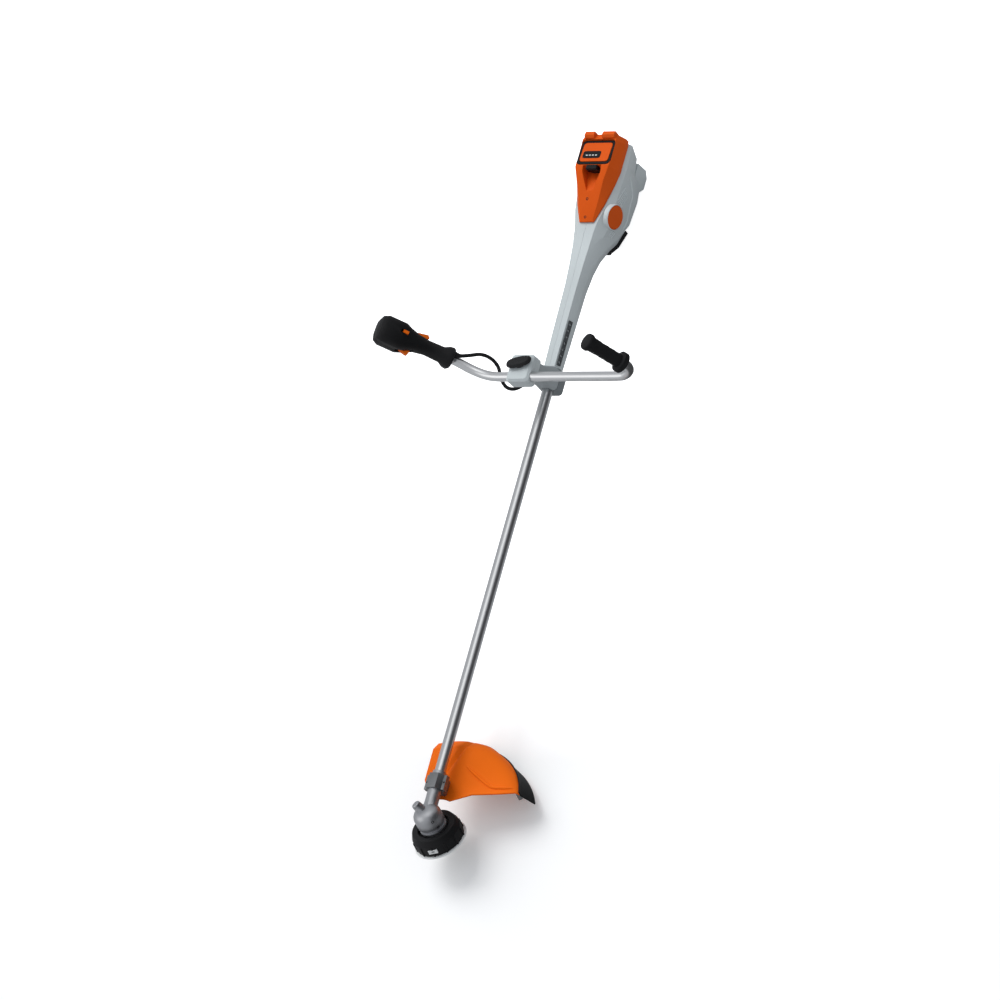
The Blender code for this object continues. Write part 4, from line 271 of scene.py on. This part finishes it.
FINISHES["aluminium"] = drawn("drawn aluminium shaft", (0.70, 0.71, 0.72), 0.30, MACHINE, ALONG_SHAFT)
FINISHES["cast_aluminium"] = blasted("cast aluminium", (0.52, 0.53, 0.55), 0.44)
FINISHES["steel"] = blasted("ground steel", (0.42, 0.42, 0.43), 0.30, 900.0, 0.00003)
FINISHES["copper"] = blasted("wound copper", (0.62, 0.30, 0.16), 0.35, 500.0, 0.00010)
LID_ORANGE = moulded("deep orange lid", (0.73, 0.100, 0.007), 0.46, 0.00004, 0.10)
CLAMP_CASTING = blasted("dull casting", (0.30, 0.31, 0.32), 0.52)
OWN_FINISH = {
    "handlebar_tube": drawn("drawn aluminium bar", (0.78, 0.79, 0.80), 0.30, MACHINE, ALONG_BAR),
    "clamp_knob": moulded("coarse black knob", (0.011, 0.011, 0.012), 0.55, 0.00120, 0.35,
                          grain_scale=260.0),
    "battery_bay_lid": LID_ORANGE,
    "battery_panel": LID_ORANGE,
    "side_cap": LID_ORANGE,
    "guard_clamp_upper": CLAMP_CASTING,
    "guard_clamp_lower": CLAMP_CASTING,
    "filler_plug": FINISHES["cast_aluminium"],
    # Support and strap are a darker grey than the housing: partly their own colour, partly painted shade of their
    # shaded faces.
    "handle_support": moulded("mid grey support partly painted shade", (0.36, 0.39, 0.40), 0.50, specular=0.3),
    "support_strap": moulded("dark grey strap partly painted shade", (0.20, 0.22, 0.23), 0.50, specular=0.3),
    "harness_rail": moulded("dark grey rail", (0.070, 0.076, 0.080), 0.50, specular=0.3),
}
print(len(FINISHES), "finishes")

# %% [markdown]
# Most solids already have the right shape, but their mesh is loose triangles with
# knife-sharp edges.  No moulded or cast piece has those.  A copy of each solid is
# merged, its flat facets are joined, its edges get a small round and its curved
# faces smooth shading.  The copy then stands for the solid.

# %% Solids with real edges
FLAT_ANGLE = math.radians(0.6)
EDGE_ANGLE = math.radians(34.0)
DEFAULT_ROUND = 0.0006
EDGE_ROUND = {"guard_shell": 0.0009, "motor_housing_left": 0.0002, "motor_housing_right": 0.0002,
              "battery_bay_lid": 0.0014, "battery_pack": 0.0016, "handle_support": 0.0016,
              "bar_saddle": 0.0018, "bar_cap": 0.0018, "clamp_knob": 0.0014, "gearbox_housing": 0.0010,
              "rear_foot": 0.0016, "control_handle_left_shell": 0.0014,
              "control_handle_right_shell": 0.0014, "trigger": 0.0010, "lockout_lever": 0.0010}


def link(name, mesh, finish):
    """A new object in the scene with one finish."""
    made = bpy.data.objects.new(name, mesh)
    bpy.context.scene.collection.objects.link(made)
    mesh.materials.clear()
    mesh.materials.append(finish)
    return made


def shade(mesh):
    """Smooth shading, kept sharp across edges steeper than EDGE_ANGLE."""
    mesh.shade_smooth()
    mesh.set_sharp_from_angle(angle=EDGE_ANGLE)


def rounded(piece, width):
    """A small round on every steep edge."""
    edge = piece.modifiers.new("edge round", "BEVEL")
    edge.width = width
    edge.segments = 2
    edge.limit_method = "ANGLE"
    edge.angle_limit = EDGE_ANGLE
    edge.harden_normals = True
    return piece


def dressed(node, finish):
    """A merged copy of a solid with rounded edges, which stands for it."""
    work = bmesh.new()
    work.from_mesh(NODES[node].data)
    bmesh.ops.remove_doubles(work, verts=work.verts, dist=1e-6)
    bmesh.ops.dissolve_limit(work, angle_limit=FLAT_ANGLE, verts=work.verts, edges=work.edges)
    mesh = bpy.data.meshes.new(node + "_dressed")
    work.to_mesh(mesh)
    work.free()
    piece = rounded(link(node + "_dressed", mesh, finish), EDGE_ROUND.get(node, DEFAULT_ROUND))
    shade(mesh)
    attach(piece, BODY_OF[node])
    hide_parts(node)
    return piece


# %% [markdown]
# New surfaces are grids of points: a row for each step along a path, a column for
# each step round a section.  One function turns such a grid into a mesh, closes
# its seams and poles, and makes its faces point outwards.

# %% From a grid of points to a mesh
def surface(name, grid, finish, body, wrap=True, caps=True):
    """Quads between neighbouring points of grid[row, column]; columns wrap round, end rows get caps."""
    rows, columns = grid.shape[:2]
    index = np.arange(rows * columns).reshape(rows, columns)
    right = np.roll(index, -1, axis=1)
    quads = np.stack([index[:-1], right[:-1], right[1:], index[1:]], axis=-1)
    quads = quads if wrap else quads[:, :-1]
    faces = quads.reshape(-1, 4).tolist()
    if caps:
        faces += [index[0, ::-1].tolist(), index[-1].tolist()]
    mesh = bpy.data.meshes.new(name)
    mesh.from_pydata(grid.reshape(-1, 3).tolist(), [], faces)
    work = bmesh.new()
    work.from_mesh(mesh)
    bmesh.ops.remove_doubles(work, verts=work.verts, dist=1e-6)
    bmesh.ops.recalc_face_normals(work, faces=work.faces)
    work.to_mesh(mesh)
    work.free()
    shade(mesh)
    piece = link(name, mesh, finish)
    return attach(piece, body) if body else piece


def along(points, steps):
    """A smooth curve through points: Catmull-Rom, with `steps` samples on each span."""
    p = np.asarray(points, float)
    p = np.vstack([2 * p[0] - p[1], p, 2 * p[-1] - p[-2]])
    t = np.linspace(0, 1, steps, endpoint=False)[None, :, None]
    a, b, c, d = (p[i:len(p) - 3 + i, None, :] for i in range(4))
    bend, twist = 2 * a - 5 * b + 4 * c - d, 3 * b - a - 3 * c + d
    curve = 0.5 * (2 * b + (c - a) * t + bend * t ** 2 + twist * t ** 3)
    return np.vstack([curve.reshape(-1, 3), p[-2]])


def tube(path, radius, sides, up):
    """Circles carried along a path: centre + radius * (cos * side + sin * normal) at each point."""
    tangent = np.gradient(path, axis=0)
    tangent /= np.linalg.norm(tangent, axis=1, keepdims=True)
    side = np.cross(tangent, np.asarray(up, float))
    side /= np.linalg.norm(side, axis=1, keepdims=True)
    normal = np.cross(side, tangent)
    angle = np.linspace(0, 2 * np.pi, sides, endpoint=False)[None, :, None]
    ring = np.cos(angle) * side[:, None] + np.sin(angle) * normal[:, None]
    return path[:, None] + np.broadcast_to(radius, (len(path),))[:, None, None] * ring


def revolved(profile, matrix, steps=64):
    """A profile of (radius, height) turned round z of a frame."""
    r, z = np.asarray(profile, float).T
    angle = np.linspace(0, 2 * np.pi, steps, endpoint=False)
    points = np.stack([r[:, None] * np.cos(angle), r[:, None] * np.sin(angle),
                       np.broadcast_to(z[:, None], (len(r), steps))], axis=-1)
    return placed(matrix, points)


def solid(node):
    """A solid's points, and the point numbers of its triangles."""
    mesh = NODES[node].data
    mesh.calc_loop_triangles()
    points = np.empty(3 * len(mesh.vertices))
    index = np.empty(3 * len(mesh.loop_triangles), dtype=np.int32)
    mesh.vertices.foreach_get("co", points)
    mesh.loop_triangles.foreach_get("vertices", index)
    return points.reshape(-1, 3), index.reshape(-1, 3)


def landed(node, starts, direction):
    """Where rays along one direction first meet a solid, and the surface normal there.

    A ray crosses a triangle's plane at t = (corner - start) . n / (direction . n).  The crossing
    counts when it lies inside all three edges, and the smallest t wins.
    """
    points, index = solid(node)
    a, b, c = points[index].transpose(1, 0, 2)
    normal = np.cross(b - a, c - a)
    slope = normal @ direction
    with np.errstate(divide="ignore", invalid="ignore"):
        t = np.einsum("rti,ti->rt", a[None] - starts[:, None], normal) / slope
        hit = starts[:, None] + t[..., None] * direction
        inside = np.isfinite(t) & (t > 0)
        for p, q in ((a, b), (b, c), (c, a)):
            inside &= np.einsum("rti,ti->rt", np.cross((q - p)[None], hit - p[None]), normal) >= 0
    t = np.where(inside, t, np.inf)
    best = t.argmin(axis=1)
    facing = normal[best] * -np.sign(slope[best])[:, None]
    facing /= np.linalg.norm(facing, axis=1, keepdims=True)
    return starts + t.min(axis=1)[:, None] * direction, facing


def upon(point, facing, sideways=(0.0, 1.0, 0.0)):
    """A frame on a surface: z along its normal, y near `sideways`."""
    side = np.asarray(sideways, float) - facing * (np.asarray(sideways) @ facing)
    side /= np.linalg.norm(side)
    matrix = np.eye(4)
    matrix[:3, :3] = np.stack([np.cross(side, facing), side, facing], axis=1)
    matrix[:3, 3] = point
    return matrix


def bead(path, facing, width, height):
    """A bead half sunk in a surface, pointed at both ends.

    Each point is path + cos * width / 2 * side + sin * height * normal.
    """
    side = np.cross(facing, np.gradient(path, axis=0))
    side /= np.linalg.norm(side, axis=1, keepdims=True)
    share = np.linspace(0, 1, len(path))
    swell = np.clip(8 * np.minimum(share, 1 - share), 0.02, 1)[:, None, None] ** 0.5
    angle = np.linspace(0, 2 * np.pi, 16, endpoint=False)[None, :, None]
    ring = 0.5 * width * np.cos(angle) * side[:, None] + height * np.sin(angle) * facing[:, None]
    return path[:, None] + swell * ring


def pad(matrix, half_x, half_y, levels, power=7.0, steps=56):
    """A block with round corners: superellipses |x|^p + |y|^p = 1, each level a (size, height) pair."""
    angle = np.linspace(0, 2 * np.pi, steps, endpoint=False)
    x = half_x * np.sign(np.cos(angle)) * np.abs(np.cos(angle)) ** (2 / power)
    y = half_y * np.sign(np.sin(angle)) * np.abs(np.sin(angle)) ** (2 / power)
    inset, z = np.asarray(levels, float).T
    inset = inset[:, None]
    points = np.stack([x[None] - np.sign(x)[None] * inset, y[None] - np.sign(y)[None] * inset,
                       np.broadcast_to(z[:, None], (len(z), steps))], axis=-1)
    return placed(matrix, points)


# %% [markdown]
# The control lead runs in one loose bend from the foot of the control handle, behind
# the bar, to the support under the clamp.  It is shown from end to end, so its whole
# length is known.

# %% Control lead
LEAD_DIAMETER = 0.0085
LEAD_ROUTE = [(-0.0295, -0.1564, 0.1657), (-0.0304, -0.1488, 0.1563), (-0.0394, -0.1350, 0.1410),
              (-0.0500, -0.1170, 0.1245), (-0.0500, -0.1020, 0.1040), (-0.0380, -0.0900, 0.0850),
              (-0.0150, -0.0820, 0.0750), (0.0020, -0.0690, 0.0630), (0.0020, -0.0520, 0.0530),
              (-0.0140, -0.0345, 0.0460), (-0.0340, -0.0228, 0.0450)]
LEAD_UP = (0.3, 0.5, 0.1)
RELIEF_RADIUS = 0.0066
RELIEF_WALL = 0.0002
RELIEF_POINTS = 8
lead_path = placed(MACHINE, along(LEAD_ROUTE, 6))
lead = surface("control_lead", tube(lead_path, LEAD_DIAMETER / 2, 20, LEAD_UP),
               FINISHES["black_rubber"], None)
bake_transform(lead)
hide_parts("control_cable")
taper = np.linspace(RELIEF_RADIUS, LEAD_DIAMETER / 2 + RELIEF_WALL, RELIEF_POINTS)
for label, body, ends in (("handle", "handlebar", lead_path), ("support", "machine", lead_path[::-1])):
    relief = surface("lead_relief_" + label, tube(ends[:RELIEF_POINTS], taper, 24, LEAD_UP),
                     FINISHES["black_rubber"], body)

# %% [markdown]
# Every other solid is dressed with the finish that its slot names.

# %% Dress the solids
for node in NODES:
    if node != "control_cable":
        dressed(node, OWN_FINISH.get(node, FINISHES[SLOT_OF[node]]))
print("dressed", len(NODES) - 1, "solids")

# %% [markdown]
# The housing's flanks carry fine raised lines: louvres behind and in front of the
# round cover, and a long rib.  Each is a bead laid on the flank: rays across the
# machine find the flank, so a bead follows whatever shape the housing has.  A turned
# collar stands round the cover.  All are coloured a little paler than the housing: a
# painted highlight on their raised edges.

# %% Louvres, ribs and the cover's collar
LOUVRE_SLOPE = np.array((-0.94, 0.0, -0.34))
LOUVRE_STEP = np.array((-0.34, 0.0, 0.94))
LOUVRE_PITCH = 0.0062
LOUVRE_GROUPS = [((-0.516, 0.0, -0.004), 0.046, 5), ((-0.4305, 0.0, -0.015), 0.020, 3)]
LOUVRE_SIZE = (0.0032, 0.0024)
FLANK_RIB = [(-0.5745, 0.0, -0.0066), (-0.5497, 0.0, -0.0390), (-0.5146, 0.0, -0.0478),
             (-0.4805, 0.0, -0.0525), (-0.4552, 0.0, -0.0487)]
RIB_SIZE = (0.0042, 0.0024)
RAY_START = 0.2
COLLAR_GAP = 0.0004
COLLAR_DEPTH = 0.012
COLLAR_PROFILE = [(0.0, -COLLAR_DEPTH), (0.0, -0.0010), (0.0006, 0.0), (0.0016, -0.0006), (0.0024, -0.0026),
                  (0.0028, -COLLAR_DEPTH), (0.0, -COLLAR_DEPTH)]
# Paler than the housing: a painted highlight on the louvres, the rib and the collar.
PAINTED_HIGHLIGHT_GREY = moulded("pale grey crest painted highlight", (0.66, 0.705, 0.71), 0.46, specular=0.3)


def straight(centre, slope, length, points=24):
    """Points along a straight line about its middle."""
    return np.asarray(centre) + np.linspace(-0.5, 0.5, points)[:, None] * length * slope


def flank_bead(name, label, line, width, height):
    """A bead on one flank of the housing, along a line drawn in the machine's middle plane."""
    side = 1 if label == "left" else -1
    starts = placed(MACHINE, line + side * RAY_START * LEFT)
    path, facing = landed("motor_housing_" + label, starts, -side * LEFT)
    raised = surface(f"{name}_{label}", bead(path, facing, width, height), PAINTED_HIGHLIGHT_GREY, "machine")


for label in ("left", "right"):
    for group, (centre, length, number) in enumerate(LOUVRE_GROUPS):
        for step in range(number):
            where = np.asarray(centre) + LOUVRE_STEP * LOUVRE_PITCH * (step - (number - 1) / 2)
            flank_bead(f"louvre_{group}_{step}", label, straight(where, LOUVRE_SLOPE, length), *LOUVRE_SIZE)
    flank_bead("flank_rib", label, along(FLANK_RIB, 12), *RIB_SIZE)
cover = solid("side_cap")[0]
cover_middle = cover.mean(axis=0)
cover_axis = np.linalg.svd(cover - cover_middle, full_matrices=False)[2][2]
cover_axis *= np.sign(cover_axis[1])
proud = (cover - cover_middle) @ cover_axis
edge = np.linalg.norm(cover - cover_middle - proud[:, None] * cover_axis, axis=1).max() + COLLAR_GAP
collar_frame = upon(cover_middle + proud.max() * cover_axis, cover_axis, (0.0, 0.0, 1.0))
collar = surface("cover_collar", revolved(np.add(COLLAR_PROFILE, (edge, 0.0)), collar_frame), PAINTED_HIGHLIGHT_GREY,
                 "machine", caps=False)
louvres = 2 * sum(number for _, _, number in LOUVRE_GROUPS)
print(louvres, "louvres and a collar of radius", round(edge, 4))

# %% [markdown]
# One long bead stiffens the guard: it runs down from the shaft, then along the front
# edge.  The two rubber discs of the left grip, at its foot and at its end, are turned
# profiles on the grip's own axis, which is the long axis of its points.

# %% Guard bead and grip discs
GUARD_BEAD = [(0.9165, 0.0403, 0.3), (0.9414, 0.0772, 0.3), (0.9600, 0.1080, 0.3),
              (0.9660, 0.1250, 0.3), (0.9660, 0.1450, 0.3), (0.9640, 0.1720, 0.3)]
GUARD_BEAD_SIZE = (0.0075, 0.0032)
bead_path, bead_facing = landed("guard_shell", placed(MACHINE, along(GUARD_BEAD, 10)), DOWN)
guard_bead = surface("guard_bead", bead(bead_path, bead_facing, *GUARD_BEAD_SIZE),
                     FINISHES["orange_plastic"], "machine")
GRIP_DISCS = {"foot": (0.010, [(0.0185, -0.006), (0.0235, -0.005), (0.0250, -0.001), (0.0246, 0.003),
                               (0.0215, 0.005), (0.0185, 0.0055)]),
              "end": (1.0, [(0.0001, 0.0008), (0.0160, 0.0007), (0.0192, -0.0010), (0.0202, -0.0045),
                            (0.0196, -0.0085), (0.0165, -0.0100)])}
grip_points, _ = solid("left_grip")
grip_axis = np.linalg.svd(grip_points - grip_points.mean(axis=0), full_matrices=False)[2][0]
grip_axis *= np.sign(grip_axis[2])
reach = (grip_points - grip_points.mean(axis=0)) @ grip_axis
for label, (share, profile) in GRIP_DISCS.items():
    height = reach.min() + share if share < 1 else reach.max()
    middle = upon(grip_points.mean(axis=0) + grip_axis * height, grip_axis)
    disc = surface("grip_disc_" + label, revolved(profile, middle, 48), FINISHES["black_rubber"],
                   "handlebar")
print("guard bead", len(bead_path), "points; grip discs laid")

# %% [markdown]
# Small moulded and turned details follow: dished screw heads on the lid and on the
# gear case, and the battery's charge display with its four lights.

# %% Screw heads and battery display
SCREW_PROFILE = [(0.00005, -0.0006), (0.0016, -0.0006), (0.0018, 0.0002), (0.0030, 0.0003),
                 (0.0034, 0.0), (0.0036, -0.0010)]
LID_SCREWS = np.array([(-0.4865, -0.004, RAY_START), (-0.445, -0.004, RAY_START)])
GEAR_CENTRE = np.array((1.053, 0.0, 0.0))
GEAR_SCREWS = np.array([(0.591, 0.765, 0.257), (0.577, 0.751, -0.322)])


def screw(name, node, start, direction):
    """A dished screw head where a ray meets a solid."""
    point, facing = landed(node, np.atleast_2d(start), direction)
    head = surface(name, revolved(SCREW_PROFILE, upon(point[0], facing[0]), 28), FINISHES["black_plastic"],
                   BODY_OF[node])


for number, place in enumerate(placed(MACHINE, LID_SCREWS)):
    screw(f"lid_screw_{number + 1}", "battery_bay_lid", place, DOWN)
for number, way in enumerate(GEAR_SCREWS):
    screw(f"gear_screw_{number + 1}", "gearbox_housing", placed(MACHINE, GEAR_CENTRE + RAY_START * way),
          -TURN @ way)
DISPLAY_AT = np.array((0.007, -0.009, 0.05))
DISPLAY_HALF = (0.0095, 0.024)
DISPLAY_LEVELS = [(0.0, -0.0010), (0.0, 0.0006), (0.0004, 0.0010), (0.0020, 0.0011), (0.0024, 0.0007)]
LIGHTS = 4
LIGHT_PITCH = 0.0085
LIGHT_AT = (0.002, 0.0007)
LIGHT_HALF = (0.0012, 0.0026)
LIGHT_LEVELS = [(0, -0.0004), (0, 0.0003), (0.0004, 0.0005)]
panel_points, _ = solid("battery_panel")
panel_axis = np.array(JOINTS["battery_slide"]["axis"])
panel = upon((panel_points.min(axis=0) + panel_points.max(axis=0)) / 2, panel_axis)
point, facing = landed("battery_panel", np.atleast_2d(placed(panel, DISPLAY_AT)), -panel_axis)
display_frame = upon(point[0], facing[0])
display = surface("charge_display", pad(display_frame, *DISPLAY_HALF, DISPLAY_LEVELS),
                  FINISHES["black_plastic"], "battery")
for number in range(LIGHTS):
    sideways = LIGHT_PITCH * (number - (LIGHTS - 1) / 2)
    spot = upon(placed(display_frame, (LIGHT_AT[0], sideways, LIGHT_AT[1])), facing[0])
    lamp_cover = surface(f"charge_light_{number + 1}", pad(spot, *LIGHT_HALF, LIGHT_LEVELS),
                         FINISHES["white_plastic"], "battery")
print("screws and display laid")

# %% [markdown]
# The floor is white to the camera and keeps a soft shadow by the cutting end; further
# back a stronger glow, seen only by the camera, paints the machine's shadow out.  To the
# machine's plastics it is a grey card.  Bright metal mirrors its surroundings, so the
# floor and the world turn dark to the operator's left: that gives each tube its dark
# edge.

# %% Floor
FLOOR_REACH = 30.0
FLOOR_WHITE = (0.93, 0.93, 0.93)
FLOOR_CARD = (0.45, 0.45, 0.45)
LIGHT_CARD = (0.50, 0.50, 0.50)
DARK_CARD = (0.06, 0.06, 0.06)
DARK_FROM, DARK_GAIN = 0.12, 6.0
GLOW_BY_HEAD = (0.10, 0.10, 0.095)
GLOW_BEHIND = (0.80, 0.80, 0.80)
GLOW_FROM, GLOW_GAIN = 0.35, 2.0


def seen_by(tree, kind):
    """One for rays of a kind, else zero."""
    return tree.node("ShaderNodeLightPath", {}, {}, f"Is {kind} Ray")


paper = Finish("white paper floor", FLOOR_WHITE, 0.9, specular=0.0)
_, floor_along = paper.turned(MACHINE)
floor_mirrored = paper.mix(((floor_along[1] - DARK_FROM) * DARK_GAIN).clamped(), LIGHT_CARD, DARK_CARD)
card = paper.mix(seen_by(paper, "Glossy"), FLOOR_CARD, floor_mirrored)
paper.feed("Base Color", paper.mix(seen_by(paper, "Camera"), card, FLOOR_WHITE))
# Painted light on the floor: behind the cutting end a stronger glow, seen only by the camera, washes the machine's
# shadow out.
glow = paper.mix(((floor_along[0] - GLOW_FROM) * GLOW_GAIN).clamped(), GLOW_BEHIND, GLOW_BY_HEAD)
paper.feed("Emission Color", paper.mix(seen_by(paper, "Camera"), (0, 0, 0), glow))
paper.shader.inputs["Emission Strength"].default_value = 1.0
corner = np.array([-FLOOR_REACH, FLOOR_REACH])
plane = np.stack(np.meshgrid(corner, corner, [0.0], indexing="ij"), axis=-1)[:, :, 0]
floor = surface("paper_floor", plane, paper.material, None, wrap=False, caps=False)
print("floor", 2 * FLOOR_REACH, "m wide")

# %% [markdown]
# The world lights the plastics evenly.  Only mirrored rays see its two white panels,
# one for the shaft's light band and one for the bar's, and its dark side.  Each is a
# smooth step of the ray's direction along an axis: the axis, where it starts, its gain.

# %% World
WORLD_LIGHT = (0.53, 0.55, 0.58)
WORLD_MIRRORED = (0.50, 0.51, 0.53)
PANEL_LIGHT = (1.30, 1.30, 1.30)
DARK_LIGHT = (0.05, 0.05, 0.055)
SHAFT_PANEL = ((-0.37, 0.10, 0.925), 0.90, 16.0)
BAR_PANEL = ((0.37, -0.57, 0.735), 0.88, 12.0)
DARK_SIDE = ((0.0, 1.0, 0.0), 0.58, 5.0)
world = bpy.data.worlds.new("studio")
bpy.context.scene.world = world
world.use_nodes = True
sky = world.node_tree.nodes["Background"]


class Sky(Finish):
    """The world's tree, with the same node method."""

    def __init__(self, tree):
        self.tree = tree
        self.way = self.node("ShaderNodeTexCoord", {}, {}, "Generated")

    def toward(self, axis, start, gain):
        """A smooth step: zero until the ray's share along an axis passes `start`."""
        share = self.node("ShaderNodeVectorMath", {"operation": "DOT_PRODUCT"},
                          {0: self.way, 1: tuple(TURN @ np.asarray(axis))}, "Value")
        return ((share - start) * gain).clamped()


studio = Sky(world.node_tree)
mirrored = studio.mix(studio.toward(*SHAFT_PANEL), WORLD_MIRRORED, PANEL_LIGHT)
mirrored = studio.mix(studio.toward(*BAR_PANEL), mirrored, PANEL_LIGHT)
mirrored = studio.mix(studio.toward(*DARK_SIDE), mirrored, DARK_LIGHT)
light = studio.mix(seen_by(studio, "Glossy"), WORLD_LIGHT, mirrored)
light = studio.mix(seen_by(studio, "Camera"), light, (1, 1, 1))
world.node_tree.links.new(light.socket, sky.inputs["Color"])
sky.inputs["Strength"].default_value = 1.0
print("world with", len(world.node_tree.nodes), "nodes")

# %% [markdown]
# Two broad lamps, a high one and a low one behind the operator's right, give the
# plastics their shape and the floor its soft shadow.  The camera looks down on the
# machine from the front left, with the shaft running down the picture.

# %% Lamps and camera
LAMPS = {"high lamp": ((-0.52, -0.34, 0.78), 1.10), "low lamp": ((-0.45, -0.66, 0.60), 0.95)}
LAMP_SPREAD = math.radians(36.0)
for name, (toward, strength) in LAMPS.items():
    lamp = bpy.data.lights.new(name, "SUN")
    lamp.energy, lamp.angle = strength, LAMP_SPREAD
    hung = bpy.data.objects.new(name, lamp)
    hung.visible_glossy = False
    hung.rotation_euler = Vector(TURN @ np.array(toward)).to_track_quat("Z", "Y").to_euler()
    bpy.context.scene.collection.objects.link(hung)
print(len(LAMPS), "lamps")

PICTURE_RIGHT = np.array((-0.253, 0.824, -0.507))
PICTURE_UP = np.array((-0.895, 0.0, 0.447))
PICTURE_CENTRE = np.array((0.2331, -0.0854, -0.0508))
CAMERA_DISTANCE = 30.0
PICTURE_WIDTH = 2.28
SENSOR = 36.0
right = PICTURE_RIGHT / np.linalg.norm(PICTURE_RIGHT)
up = PICTURE_UP - right * (PICTURE_UP @ right)
up /= np.linalg.norm(up)
back = np.cross(right, up)
view = np.eye(4)
view[:3, :3] = TURN @ np.stack([right, up, back], axis=1)
view[:3, 3] = placed(MACHINE, PICTURE_CENTRE + CAMERA_DISTANCE * back)
lens = bpy.data.cameras.new("camera")
lens.sensor_width = SENSOR
lens.lens = SENSOR * CAMERA_DISTANCE / PICTURE_WIDTH
camera = bpy.data.objects.new("camera", lens)
bpy.context.scene.collection.objects.link(camera)
camera.matrix_world = Matrix(view.tolist())
bpy.context.scene.camera = camera
bpy.context.scene.view_settings.view_transform = "Standard"
print("camera", view[:3, 3].round(2), "lens", round(lens.lens, 1))
